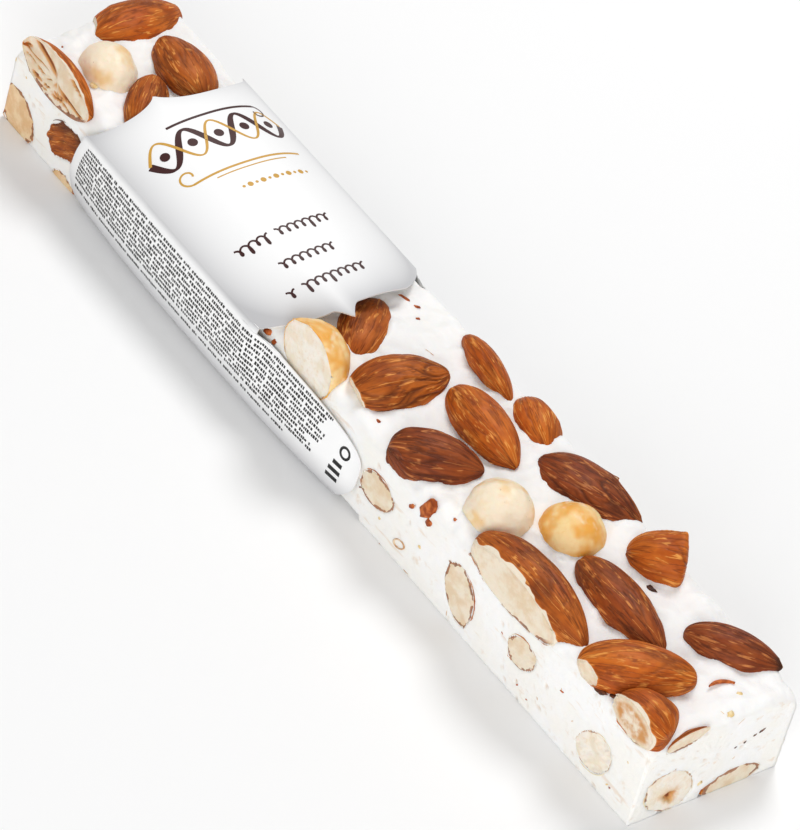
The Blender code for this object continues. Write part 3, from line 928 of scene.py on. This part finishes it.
def panel_y(x, z):
    """Distance of a side panel from the bar's middle plane; its tongue leans in at the top."""
    share = np.clip((FOLD_Z - z) / (FOLD_Z - BOTTOM_RADIUS), 0, 1)
    foot = FOOT_Y + belly(x)
    lean = TONGUE_LEAN * eased(x / MM, -17.0, -11.5) * eased(z / MM, 4.0, 13.0)
    return FOLD_Y + (foot - FOLD_Y) * share + 0.4 * belly(x) * np.sin(math.pi * share) - lean


def arc_between(y, start, end, depth):
    """A shallow arc over the chord from start to end, both (y, x)."""
    share = (y - start[0]) / (end[0] - start[0])
    arch = np.maximum(0, 4 * share * (1 - share)) ** 0.7
    return start[1] + (end[1] - start[1]) * share + depth * arch


def top_rear_edge(y):
    """Two hollow arcs that meet in a point, off the middle."""
    point = (-4.8 * MM, -62.2 * MM)
    near = arc_between(np.minimum(y, point[0]), (-FOLD_Y, -62.9 * MM), point, 2.4 * MM)
    far = arc_between(np.maximum(y, point[0]), point, (FOLD_Y, -64.6 * MM), 3.8 * MM)
    return np.where(y < point[0], near, far)


def top_front_edge(y):
    """Round corners, shallow hollows and a small point between them."""
    straight = 7.0 * MM
    near = np.maximum(0, (-y - straight) / (FOLD_Y - straight)) ** 1.8
    far = np.maximum(0, (y - straight) / (FOLD_Y - straight)) ** 1.7
    point = np.maximum(0, 1 - np.abs(y + 4.2 * MM) / (2.4 * MM)) ** 1.6
    return (-9.4 - 5.5 * near - 6.8 * far + 2.7 * point) * MM


def side_rear_edge(z):
    """The rear edge of a side panel, furthest back at its widest level."""
    widest = 5.6 * MM
    high = PANEL_REAR + 2.6 * MM * np.maximum(0, (z - widest) / (FOLD_Z - widest)) ** 1.6
    return high + 6.4 * MM * np.maximum(0, (widest - z) / widest) ** 3


def side_front_edge(z, corner):
    """A rounded tongue that reaches past the top panel; corner is where the top panel ends."""
    widest, roundness = 7.0 * MM, 3.7
    low = PANEL_FRONT - 5.2 * MM * np.maximum(0, (widest - z) / widest) ** 2.2
    share = np.clip((z - widest) / (TONGUE_TOP - widest), 0, 1)
    high = corner + (PANEL_FRONT - corner) * (1 - share**roundness) ** (1 / roundness)
    return np.where(z < widest, low, high)


def band_half_rows():
    """Rows from the middle of the top to the base: ('top', y), ('side', z) or ('foot', angle)."""
    rounding = 0.9 * MM
    rows = [("top", FOLD_Y * math.sin(math.pi / 2 * k / 60)) for k in range(60)]
    rows += [("side", FOLD_Z)]
    rows += [("side", z) for z in TONGUE_TOP - rounding * (np.linspace(0, 1, 14) ** 3)]
    rows += [("side", z) for z in np.linspace(TONGUE_TOP - rounding, BOTTOM_RADIUS, 36)[1:]]
    return rows + [("foot", math.pi / 2 * k / 8) for k in range(1, 9)]


def band_row(row, columns, side):
    """The outer skin along the bar for one row, as (x, y, z) from rear to front. side is 1 on the
    far side and -1 on the near one."""
    kind, value = row
    if kind == "top":
        y = side * value
        z = crown(y)
        rear, front = top_rear_edge(y), top_front_edge(y)
    else:
        z = value if kind == "side" else BOTTOM_RADIUS * (1 - math.sin(value))
        rear, front = side_rear_edge(z), side_front_edge(z, top_front_edge(side * FOLD_Y))
    x = rear + (front - rear) * np.linspace(0, 1, columns)
    if kind != "top":
        turned_in = BOTTOM_RADIUS * (1 - math.cos(value)) if kind == "foot" else 0.0
        y = side * (panel_y(x, max(z, BOTTOM_RADIUS)) - turned_in)
    return np.column_stack([x, np.broadcast_to(y, columns), np.full(columns, z)])


def band_shade(points):
    """Painted shade, 0 to 1: soft grey borders on the top panel and a dark foot on the sides, where
    the band curves away and turns under.
    """
    x, y, z = points.T
    rear, front = top_rear_edge(y), top_front_edge(y)
    from_front, from_rear = (front - x) / MM, (x - rear) / MM
    from_fold = (FOLD_Y - np.abs(y)) / MM
    # painted shade along the top panel's front, rear and folds
    top = 1.05 * np.exp(-from_front / 4.4) + 0.35 * np.exp(-from_rear / 2.0)
    top += 0.75 * np.exp(-from_fold / 3.0)
    # painted shade on the side panels: dark at the foot, grey near their ends
    foot = np.clip((6.5 * MM - z) / (6.5 * MM), 0, 1) ** 1.4
    near_end = np.minimum(x - side_rear_edge(z), PANEL_FRONT - x) / MM
    side = 1.25 * foot + 0.25 * np.exp(-np.maximum(near_end, 0) / 1.3)
    return np.clip(np.where(z > FOLD_Z - 0.01 * MM, top, side), 0, 1)


def dress_band():
    """The paper: an outer and an inner skin round the bar, joined along both of the band's edges."""
    columns = 90
    half = band_half_rows()
    outer = np.array([band_row(row, columns, 1) for row in half]
                     + [band_row(row, columns, -1) for row in half[:0:-1]])
    rows = len(outer)
    round_bar = np.roll(outer, -1, axis=0) - np.roll(outer, 1, axis=0)
    inward = np.cross(round_bar, np.gradient(outer, axis=1))
    inward /= np.linalg.norm(inward, axis=2, keepdims=True)
    if inward[0, columns // 2, 2] > 0:
        inward = -inward
    inner = outer + inward * PAPER
    flat_outer, flat_inner = outer.reshape(-1, 3), inner.reshape(-1, 3)
    faces = grid_faces(rows, columns, closed_rows=True)
    shift = rows * columns
    faces += [tuple(index + shift for index in reversed(face)) for face in faces]
    for row in range(rows):
        after = (row + 1) % rows
        for column, turn in ((0, 1), (columns - 1, -1)):
            a, b = row * columns + column, after * columns + column
            faces.append((a, b, b + shift, a + shift)[::turn])
    obj = new_mesh_object("band_paper", np.concatenate([flat_outer, flat_inner]), faces, PAPER_WHITE)
    face_outward(obj.data)
    shade = band_shade(flat_outer)
    set_number(obj.data, "shade", np.concatenate([shade, shade * 0]))
    keep_inside(obj.data)
    return own(obj, "paper_band", "paper_band")


# ---- shapes set on points


def shape_object(name, bm):
    """A helper object to copy from; it is removed once its copies are made."""
    bmesh.ops.recalc_face_normals(bm, faces=bm.faces)
    mesh = bpy.data.meshes.new(name)
    bm.to_mesh(mesh)
    bm.free()
    return link_object(name, mesh)


def join_loops(bm, pairs):
    """Faces between each pair of loops of vertices."""
    for low, high in pairs:
        for k in range(len(low)):
            after = (k + 1) % len(low)
            bm.faces.new((low[k], low[after], high[after], high[k]))


def block_shape():
    bm = bmesh.new()
    bmesh.ops.create_cube(bm, size=1.0)
    return shape_object("block", bm)


def disc_shape():
    bm = bmesh.new()
    bmesh.ops.create_cone(bm, cap_ends=True, segments=16, radius1=0.5, radius2=0.5, depth=1.0)
    return shape_object("disc", bm)


def ring_shape(segments=24, inner=0.31):
    """A flat ring of radius 0.5, with a hole of radius inner."""
    bm = bmesh.new()
    turns = [2 * math.pi * k / segments for k in range(segments)]
    loops = [[bm.verts.new((radius * math.cos(a), radius * math.sin(a), z)) for a in turns]
             for radius, z in ((0.5, -0.5), (0.5, 0.5), (inner, 0.5), (inner, -0.5))]
    join_loops(bm, zip(loops, loops[1:] + loops[:1]))
    return shape_object("ring", bm)


def chip_shape(seed):
    """A small angular crumb, flatter than it is wide."""
    bm = bmesh.new()
    bmesh.ops.create_icosphere(bm, subdivisions=2, radius=0.5)
    points = np.array([vert.co for vert in bm.verts])
    swell = 1 + 0.55 * noise(points * 2.3 + seed * 5.1)
    for vert, factor in zip(bm.verts, swell):
        vert.co = vert.co * factor
        vert.co.z = max(-0.28, min(0.28, vert.co.z))
    return shape_object("chip", bm)


def sliver_shape():
    """A thin curved sliver of skin, one unit long."""
    bm = bmesh.new()
    section = ((-1, -0.04), (0, -0.08), (1, -0.04), (1, 0.04), (0, 0.08), (-1, 0.04))
    loops = []
    for step in range(15):
        share = step / 14
        angle = math.radians(-34 + 68 * share)
        width = 0.075 * math.sin(math.pi * min(max(share, 0.05), 0.95)) ** 0.6
        middle = Vector((0.9 * math.sin(angle), 0.9 * math.cos(angle) - 0.82, 0))
        out = Vector((math.sin(angle), math.cos(angle), 0))
        loops.append([bm.verts.new(middle + out * width * across + Vector((0, 0, up)))
                      for across, up in section])
    join_loops(bm, zip(loops, loops[1:]))
    bm.faces.new(loops[0])
    bm.faces.new(loops[-1])
    return shape_object("sliver", bm)


def remove(*objects):
    for obj in objects:
        bpy.data.objects.remove(obj)


class GeometryNodes(Nodes):
    """A Geometry Nodes tree with named inputs and one geometry output, Pieces."""

    def __init__(self, name, **kinds):
        super().__init__(bpy.data.node_groups.new(name, "GeometryNodeTree"))
        new_socket = self.tree.interface.new_socket
        for label, kind in kinds.items():
            new_socket(label, in_out="INPUT", socket_type="NodeSocket" + kind)
        new_socket("Pieces", in_out="OUTPUT", socket_type="NodeSocketGeometry")
        self.given = self.put("NodeGroupInput").outputs
        self.out = self.put("NodeGroupOutput").inputs[0]

    def named(self, kind, name):
        """An attribute of the points, by its name."""
        settings = {"data_type": kind}
        return self.put("GeometryNodeInputNamedAttribute", settings, Name=name).outputs[0]

    def rotation(self, euler):
        return self.put("FunctionNodeEulerToRotation", Euler=euler).outputs[0]

    def random_vector(self, low, high):
        return self.put("FunctionNodeRandomValue", {"data_type": "FLOAT_VECTOR"}, _0=low, _1=high,
                        Seed=self.given["Seed"]).outputs[0]

    def copies(self, points, rotation, size, smooth):
        """Sets the Shape on each point, makes it real, gives it the Finish and ends the tree."""
        given = self.given
        shape = self.put("GeometryNodeObjectInfo", Object=given["Shape"]).outputs["Geometry"]
        made = self.put("GeometryNodeInstanceOnPoints", Points=points, Instance=shape,
                        Rotation=rotation, Scale=size).outputs[0]
        made = self.put("GeometryNodeRealizeInstances", Geometry=made).outputs[0]
        made = self.put("GeometryNodeSetShadeSmooth", _0=made, Shade_Smooth=smooth).outputs[0]
        made = self.put("GeometryNodeSetMaterial", Geometry=made, Material=given["Finish"]).outputs[0]
        self.join(made, self.out)
        return self.tree


def placed_shapes_tree(name, smooth):
    """Sets a shape on every point, turned and sized by the point's own turn and size."""
    n = GeometryNodes(name, Points="Geometry", Shape="Object", Finish="Material")
    turn, size = n.named("FLOAT_VECTOR", "turn"), n.named("FLOAT_VECTOR", "size")
    return n.copies(n.given["Points"], n.rotation(turn), size, smooth)


def strewn_crumbs_tree():
    """Scatters a shape over a surface where crumb_place allows, at random turns and sizes."""
    n = GeometryNodes("strewn_crumbs", Surface="Geometry", Shape="Object", Density="Float",
                      Smallest="Vector", Largest="Vector", Seed="Int", Finish="Material")
    density = n.math("MULTIPLY", n.named("FLOAT", "crumb_place"), n.given["Density"])
    spread = n.put("GeometryNodeDistributePointsOnFaces", Mesh=n.given["Surface"],
                   Density=density, Seed=n.given["Seed"]).outputs
    size = n.random_vector(n.given["Smallest"], n.given["Largest"])
    spin = n.random_vector((0.0, 0.0, 0.0), (0.0, 0.0, 2 * math.pi))
    turn = n.put("FunctionNodeRotateRotation", {"rotation_space": "LOCAL"},
                 Rotation=spread["Rotation"], Rotate_By=n.rotation(spin)).outputs[0]
    return n.copies(spread["Points"], turn, size, True)


def grown(name, base, tree, slot, **inputs):
    """Runs a Geometry Nodes tree on a mesh and keeps only what it makes, as a finished piece."""
    carrier = link_object(name + ".carrier", base)
    modifier = carrier.modifiers.new("grow", "NODES")
    modifier.node_group = tree
    for item in tree.interface.items_tree:
        if item.in_out == "INPUT" and item.name in inputs:
            modifier[item.identifier] = inputs[item.name]
    carrier.update_tag()
    bpy.context.view_layer.update()
    obj = made_real(carrier, name)
    keep_inside(obj.data)
    return own(obj, slot)


def marked_points(name, marks):
    """A mesh of bare points from rows of (place, reading direction, normal, size in metres)."""
    mesh = bpy.data.meshes.new(name)
    mesh.from_pydata([tuple(place) for place, _, _, _ in marks], [], [])
    turns, sizes = [], []
    for _, reading, normal, size in marks:
        normal = Vector(normal).normalized()
        reading = Vector(reading)
        reading = (reading - normal * reading.dot(normal)).normalized()
        turns.append(Matrix((reading, normal.cross(reading), normal)).transposed().to_euler())
        sizes.append(size)
    set_vector(mesh, "turn", np.array([tuple(turn) for turn in turns]))
    set_vector(mesh, "size", np.array(sizes))
    return mesh


# ---- print on the band

BRAID_X = -50.4 * MM
BRAID_SWING = 3.1 * MM
BRAID_REACH = 12.6 * MM
BRAID_LOBES = 5
UPPER_RULE_X = BRAID_X - 4.6 * MM
RULE_X = -43.0 * MM
SMALL_ROW_X = -38.4 * MM
# Rows of waves: (x, where it starts in mm, waves in each group)
WORD_ROWS = ((-27.6 * MM, -11.8, (4, 7)), (-21.4 * MM, -8.0, (7,)), (-15.9 * MM, -10.2, (1, 8)))
# Rows of dashes on a side panel: (z, height), both in mm. The last one stands apart.
DASH_ROWS = [(12.6 - 0.83 * k, 0.5) for k in range(10)] + [(3.7, 0.46)]


def top_mark(x, y, size):
    """A mark of this size in metres on the top panel."""
    step = 0.01 * MM
    slope = (crown(y + step) - crown(y - step)) / (2 * step)
    normal = Vector((0, -slope, 1)).normalized()
    return Vector((x, y, crown(y))), (0, 1, 0), normal, (size, size, 2 * PRINT_THICKNESS)


def side_mark(x, z, wide, high, side=-1):
    """A mark on a side panel, in metres; side is -1 near, 1 far."""
    step = 0.05 * MM
    xs, zs = np.array([x, x, x + step, x - step]), np.array([z + step, z - step, z, z])
    y = panel_y(xs, zs)
    rise, run = (y[0] - y[1]) / (2 * step), (y[2] - y[3]) / (2 * step)
    normal = Vector((-run, 1, -rise)).normalized()
    normal.y *= side
    return Vector((x, side * y.mean(), z)), (1, 0, 0), normal, (wide, high, 2 * PRINT_THICKNESS)


def printed_ribbon(path, widths):
    """Points and faces of a thin closed strip along a path of (x, y) on the top panel."""
    path = np.array(path)
    along = np.gradient(path, axis=0)
    along /= np.linalg.norm(along, axis=1, keepdims=True)
    across = np.column_stack([-along[:, 1], along[:, 0]])
    widths = np.broadcast_to(widths, len(path))[:, None]
    left, right = path + across * widths / 2, path - across * widths / 2
    rows = [np.column_stack([flat, crown(flat[:, 1]) + lift]) for flat, lift in (
        (left, PRINT_THICKNESS), (right, PRINT_THICKNESS), (right, -PRINT_SINK), (left, -PRINT_SINK))]
    count = len(path)
    faces = grid_faces(4, count, closed_rows=True)
    faces += [tuple(count * row for row in range(4)),
              tuple(count * row - 1 for row in range(4, 0, -1))]
    return np.concatenate(rows), faces


def ribbons_piece(name, strips, material):
    """One piece of print from several strips."""
    points, faces, base = [], [], 0
    for strip_points, strip_faces in strips:
        points.append(strip_points)
        faces += [tuple(base + index for index in face) for face in strip_faces]
        base += len(strip_points)
    obj = new_mesh_object(name, np.concatenate(points), faces, material)
    face_outward(obj.data)
    return own(obj, "paper_band")


def braid_strand(phase, width, swell):
    """One strand of the braid; widths are in mm."""
    y = np.linspace(-BRAID_REACH, BRAID_REACH, 200)
    turn = math.pi * BRAID_LOBES * (y / BRAID_REACH + 1) / 2 + phase
    x = BRAID_X + BRAID_SWING * np.sin(turn)
    return printed_ribbon(np.column_stack([x, y]), (width + swell * np.abs(np.cos(turn))) * MM)


def straight_rule(x, start, stop, width):
    """A straight rule across the panel from start to stop, in mm but for x."""
    path = np.column_stack([np.full(60, x), np.linspace(start, stop, 60) * MM])
    return printed_ribbon(path, width * MM)


def wave_word(x, start, waves, rng):
    """A word-like run of slanted waves, now and then taller; returns the strip and where it ends."""
    turn = np.linspace(0, 2 * math.pi * waves, 16 * waves + 1)
    tall = np.append(np.repeat(rng.choice((1.0, 1.0, 1.0, 2.0), waves), 16), 1.0)
    swing = -0.75 * np.cos(turn) * np.where(np.cos(turn) < 0, tall, 1.0)
    stop = start + 1.45 * waves
    along = np.linspace(start, stop, len(turn)) + 0.42 * np.sin(turn)
    return printed_ribbon(np.column_stack([x + swing * MM, along * MM]), 0.34 * MM), stop


def curl(x, y, radius):
    """A small open spiral that ends a rule."""
    turn = np.linspace(0, 1.6 * math.pi, 40)
    fading = radius * (1 - 0.12 * turn)
    path = np.column_stack([x + (radius - fading * np.cos(turn)), y + fading * np.sin(turn)])
    return printed_ribbon(path, 0.32 * MM)


def print_ornament():
    """The top panel's ornament: a braid, rules with curled ends, and rows of small waves."""
    ribbons_piece("print_braid", [
        braid_strand(0, 0.5, 0.62), straight_rule(UPPER_RULE_X, -7.0, 10.0, 0.45),
        curl(UPPER_RULE_X, 10.0 * MM, 1.5 * MM)], BROWN_INK)
    ribbons_piece("print_rules", [
        braid_strand(math.pi, 0.3, 0.2), straight_rule(RULE_X, -9.5, 11.0, 0.4),
        straight_rule(RULE_X + 1.0 * MM, -6.0, 7.5, 0.22), curl(RULE_X, -9.5 * MM, -1.7 * MM)],
        GOLD_INK)
    rng = np.random.default_rng(5)
    words = []
    for x, start, groups in WORD_ROWS:
        for waves in groups:
            strip, start = wave_word(x, start, waves, rng)
            words.append(strip)
            start += 1.3
    ribbons_piece("print_wave_rows", words, BROWN_INK)


def ornament_dots():
    """A row of small gold dots under the rules, and brown ones in the braid's eyes."""
    gold = [top_mark(SMALL_ROW_X, (-3.4 + 1.25 * step) * MM, (1.0 if step % 2 else 0.55) * MM)
            for step in range(11)]
    brown = [top_mark(BRAID_X, BRAID_REACH * (2 * (lobe + 0.5) / BRAID_LOBES - 1), 1.7 * MM)
             for lobe in range(BRAID_LOBES)]
    return gold, brown


def panel_marks(rng, side):
    """Close rows of tiny dashes along a side panel."""
    marks = []
    for z, tall in DASH_ROWS:
        start = float(side_rear_edge(z * MM)) / MM + 2.0
        last = z == DASH_ROWS[-1][0]
        stop = -3.4 if last else 5.6 - 0.25 * (12.6 - z) - rng.random() * 3.0
        if side > 0:
            stop = start + 0.62 * (stop - start)
        x, left_in_group = start, rng.integers(3, 11)
        while x < stop:
            if left_in_group == 0:
                x += 0.4
                left_in_group = rng.integers(2, 12)
            wide = rng.uniform(0.22, 0.46)
            high = tall * rng.uniform(0.7, 1.15)
            level = (z + rng.uniform(-0.05, 0.05)) * MM
            marks.append(side_mark((x + wide / 2) * MM, level, wide * MM, high * MM, side))
            x += wide + rng.uniform(0.1, 0.2)
            left_in_group -= 1
    return marks


def tongue_marks():
    """The bold mark at the front of the near panel: bars of falling length over a ring."""
    bars = [side_mark((8.0 + 0.16 * z) * MM, z * MM, long * MM, 0.75 * MM)
            for z, long in ((4.0, 2.6), (5.5, 2.6), (7.0, 2.0))]
    return bars, [side_mark(9.7 * MM, 9.6 * MM, 2.4 * MM, 2.4 * MM)]


def print_band():
    """All the print on the band."""
    rng = np.random.default_rng(11)
    tree = placed_shapes_tree("printed_marks", False)
    block, disc, ring = block_shape(), disc_shape(), ring_shape()
    print_ornament()
    gold_dots, brown_dots = ornament_dots()
    bars, mark_rings = tongue_marks()
    for name, marks, shape, finish in (
        ("print_gold_dots", gold_dots, disc, GOLD_INK),
        ("print_brown_dots", brown_dots, disc, BROWN_INK),
        ("print_near_rows", panel_marks(rng, -1) + bars, block, BLACK_INK),
        ("print_far_rows", panel_marks(rng, 1), block, BLACK_INK),
        ("print_mark_ring", mark_rings, ring, BLACK_INK),
    ):
        points = marked_points(name + ".points", marks)
        grown(name, points, tree, "paper_band", Shape=shape, Finish=finish)
    remove(block, disc, ring)


# ---- crumbs, slivers and specks

SIDE_FACE, LID, FRONT = (0, -1, 0), (0, 0, 1), (1, 0, 0)
# Crumbs that lie where a nut was cut or torn: (place in mm, facing, turn in degrees, size in mm)
SKIN_CRUMBS = [
    ((28.6, -14.4, 14.7), (0, -1, 0.25), 70, (4.3, 2.3, 0.5)),
    ((29.6, -14.2, 12.7), (0, -1, 0.1), 80, (1.7, 1.3, 0.4)),
    ((25.3, -14.4, 12.2), (0, -1, 0.1), 50, (1.5, 0.8, 0.3)),
    ((19.8, -13.6, 15.4), (0, -0.6, 1), 20, (1.9, 1.3, 0.9)),
    ((22.4, -13.5, 15.7), (0, -0.6, 1), 60, (1.5, 0.9, 0.8)),
    ((33.2, -13.0, 16.3), (0, -0.3, 1), 10, (0.7, 0.5, 0.3)),
    ((-14.2, -14.3, 14.0), (0, -1, 0.4), 30, (1.9, 1.0, 0.4)),
    ((-12.2, -14.3, 13.6), (0, -1, 0.4), 70, (1.2, 0.8, 0.3)),
    ((-5.0, 7.6, 16.8), LID, 70, (0.8, 0.6, 0.3)),
    ((-9.6, 8.2, 16.8), LID, 20, (2.2, 0.7, 0.25)),
    ((-7.4, 9.0, 16.8), LID, 40, (1.5, 0.5, 0.25)),
    ((11.0, -11.6, 16.6), LID, 10, (0.9, 0.6, 0.3)),
    ((26.4, -3.0, 16.4), LID, 15, (1.1, 0.6, 0.3)),
    ((65.0, -14.4, 9.8), SIDE_FACE, 20, (0.9, 0.3, 0.2)),
    ((56.2, -14.4, 2.7), SIDE_FACE, 60, (0.5, 0.3, 0.2)),
]
DARK_CRUMBS = [
    ((58.0, 6.1, 16.8), LID, 10, (1.7, 1.0, 0.5)),
    ((71.6, -13.7, 15.7), (0, -0.7, 1), 10, (2.1, 0.9, 0.9)),
    ((73.4, -12.9, 16.2), (0, -0.7, 1), 20, (1.6, 0.6, 0.7)),
    ((84.9, 8.6, 10.5), FRONT, 20, (1.1, 0.5, 0.4)),
    ((84.9, 7.3, 10.1), FRONT, 10, (0.6, 0.45, 0.4)),
    ((84.9, 5.6, 9.3), FRONT, 30, (0.5, 0.4, 0.4)),
    ((84.9, 3.9, 8.9), FRONT, 10, (0.45, 0.35, 0.3)),
]
YELLOW_SPECKS = [
    ((84.9, -1.3, 3.4), FRONT, 40, (1.1, 0.8, 0.35)),
    ((83.6, 1.4, 15.7), (0.6, 0, 1), 10, (1.3, 0.9, 0.3)),
    ((81.5, 4.9, 16.2), LID, 60, (1.0, 0.6, 0.25)),
    ((-70.6, -9.8, 16.6), LID, 30, (1.5, 1.1, 0.5)),
    ((29.2, -14.4, 7.1), SIDE_FACE, 30, (0.7, 0.6, 0.3)),
]
SLIVERS = [((78.8, 3.4, 16.3), LID, 74, (4.2, 4.2, 3.4))]
SKIN_RINGS = [((25.0, -14.42, 3.8), SIDE_FACE, 25, (2.9, 1.7, 0.3))]


def settled_marks(rows, surface):
    """Marks moved onto the nougat's surface, a chip pressed in by about a third of its thickness."""
    marks = []
    for place, facing, turn, size in rows:
        facing = Vector(facing).normalized()
        place = Vector(place) * MM
        hit = surface.ray_cast(place + facing * 3 * MM, -facing, 6 * MM)[0] or place
        reading = Vector((1, 0, 0)) if abs(facing.x) < 0.5 else Vector((0, 1, 0))
        reading.rotate(Matrix.Rotation(math.radians(turn), 3, facing))
        marks.append((hit + facing * size[2] * 0.1 * MM, reading, facing, [v * MM for v in size]))
    return marks


def strew(body):
    """Crumbs, slivers and specks on the nougat."""
    surface = BVHTree.FromPolygons([vert.co for vert in body.data.vertices],
                                   [list(face.vertices) for face in body.data.polygons])
    placed = placed_shapes_tree("placed_crumbs", True)
    strewn = strewn_crumbs_tree()
    chip, chip_two, sliver, ring = chip_shape(1), chip_shape(4), sliver_shape(), ring_shape(20, 0.4)
    red = crumb_finish("skin_crumb", colour(150, 66, 22), colour(206, 112, 52))
    dark = crumb_finish("dark_crumb", colour(52, 26, 16), colour(112, 62, 36))
    yellow = crumb_finish("yellow_speck", colour(236, 204, 140), colour(248, 228, 184))
    beige = crumb_finish("beige_shred", colour(206, 160, 118), colour(236, 210, 178))
    for name, rows, shape, finish, slot in (
        ("crumbs_of_skin", SKIN_CRUMBS, chip, red, "almond_skin"),
        ("crumbs_dark", DARK_CRUMBS, chip_two, dark, "almond_dark"),
        ("specks_yellow", YELLOW_SPECKS, chip, yellow, "hazelnut"),
        ("slivers_of_skin", SLIVERS, sliver, red, "almond_skin"),
        ("rings_of_skin", SKIN_RINGS, ring, beige, "almond_sawn"),
    ):
        points = marked_points(name + ".points", settled_marks(rows, surface))
        grown(name, points, placed, slot, Shape=shape, Finish=finish)
    for name, shape, finish, slot, density, small, large, seed in (
        ("strewn_skin", chip, red, "almond_skin", 4200.0, (0.2, 0.15, 0.1), (0.7, 0.4, 0.2), 3),
        ("strewn_shreds", chip_two, beige, "almond_sawn", 9000.0, (0.4, 0.1, 0.08),
         (1.6, 0.3, 0.14), 8),
        ("strewn_specks", chip, yellow, "hazelnut", 5000.0, (0.3, 0.2, 0.1), (0.8, 0.6, 0.2), 21),
    ):
        grown(name, body.data.copy(), strewn, slot, Shape=shape, Finish=finish, Density=density,
              Smallest=[v * MM for v in small], Largest=[v * MM for v in large], Seed=seed)
    remove(chip, chip_two, sliver, ring)


# ---- camera, light and floor

# The camera's azimuth, elevation and roll in degrees, the lens and the point it looks at.
CAMERA_ANGLES = (43.104, 42.080, 16.143)
CAMERA_LENS = 280.5
CAMERA_TARGET = Vector((5.0, -0.9, 8.0)) * MM


def set_camera():
    """A long lens that looks down along the bar from its near front corner, one metre away."""
    azimuth, elevation, roll = (math.radians(angle) for angle in CAMERA_ANGLES)
    back = Vector((math.sin(azimuth) * math.cos(elevation),
                   -math.cos(azimuth) * math.cos(elevation), math.sin(elevation)))
    right = Vector((math.cos(azimuth), math.sin(azimuth), 0))
    up = back.cross(right)
    across = math.cos(roll) * right + math.sin(roll) * up
    upward = -math.sin(roll) * right + math.cos(roll) * up
    data = bpy.data.cameras.new("camera")
    data.lens = CAMERA_LENS
    data.clip_start = 0.05
    camera = link_object("camera", data)
    turn = Matrix((across, upward, back)).transposed()
    camera.matrix_world = Matrix.Translation(CAMERA_TARGET + back) @ turn.to_4x4()
    bpy.context.scene.camera = camera


def add_light(name, place, size, power):
    """A round lamp that faces the middle of the bar."""
    data = bpy.data.lights.new(name, "AREA")
    data.shape = "DISK"
    data.size = size
    data.energy = power
    lamp = link_object(name, data)
    lamp.location = place
    lamp.rotation_euler = (-Vector(place)).to_track_quat("-Z", "Y").to_euler()


def set_light():
    """An even white studio with a soft key from behind and a fill from the front."""
    world = bpy.data.worlds.new("studio")
    world.use_nodes = True
    background = world.node_tree.nodes["Background"]
    background.inputs["Color"].default_value = (1.0, 1.0, 1.0, 1.0)
    background.inputs["Strength"].default_value = 0.52
    bpy.context.scene.world = world
    add_light("key", (-0.25, 0.35, 0.7), 0.3, 3.0)
    add_light("front_fill", (0.6, -0.6, 0.35), 0.5, 3.5)
    bpy.context.scene.view_settings.view_transform = "Standard"


def add_floor():
    """A wide white floor at the bar's base."""
    n = Finish("studio_floor", (0.92, 0.92, 0.92, 1.0), 0.7)
    n.lay(n.noise(n.place(), 4.0), (0.93, 0.93, 0.93, 1.0))
    points = [(-3, -3, 0), (3, -3, 0), (3, 3, 0), (-3, 3, 0)]
    new_mesh_object("floor", np.array(points, float), [(0, 1, 2, 3)], n.done())


# ---- the whole


def main():
    kernels = sorted(name for name in frame["nodes"] if name not in ("nougat", "paper_band"))
    slots = {row["node"]: row["material_slot"] for row in frame["record"]["subparts"]}
    for number, node in enumerate(kernels):
        dress_kernel(node, number, slots[node])
    body = dress_nougat(skins_tree(kernels))
    dress_band()
    print_band()
    strew(body)
    set_camera()
    set_light()
    add_floor()


main()
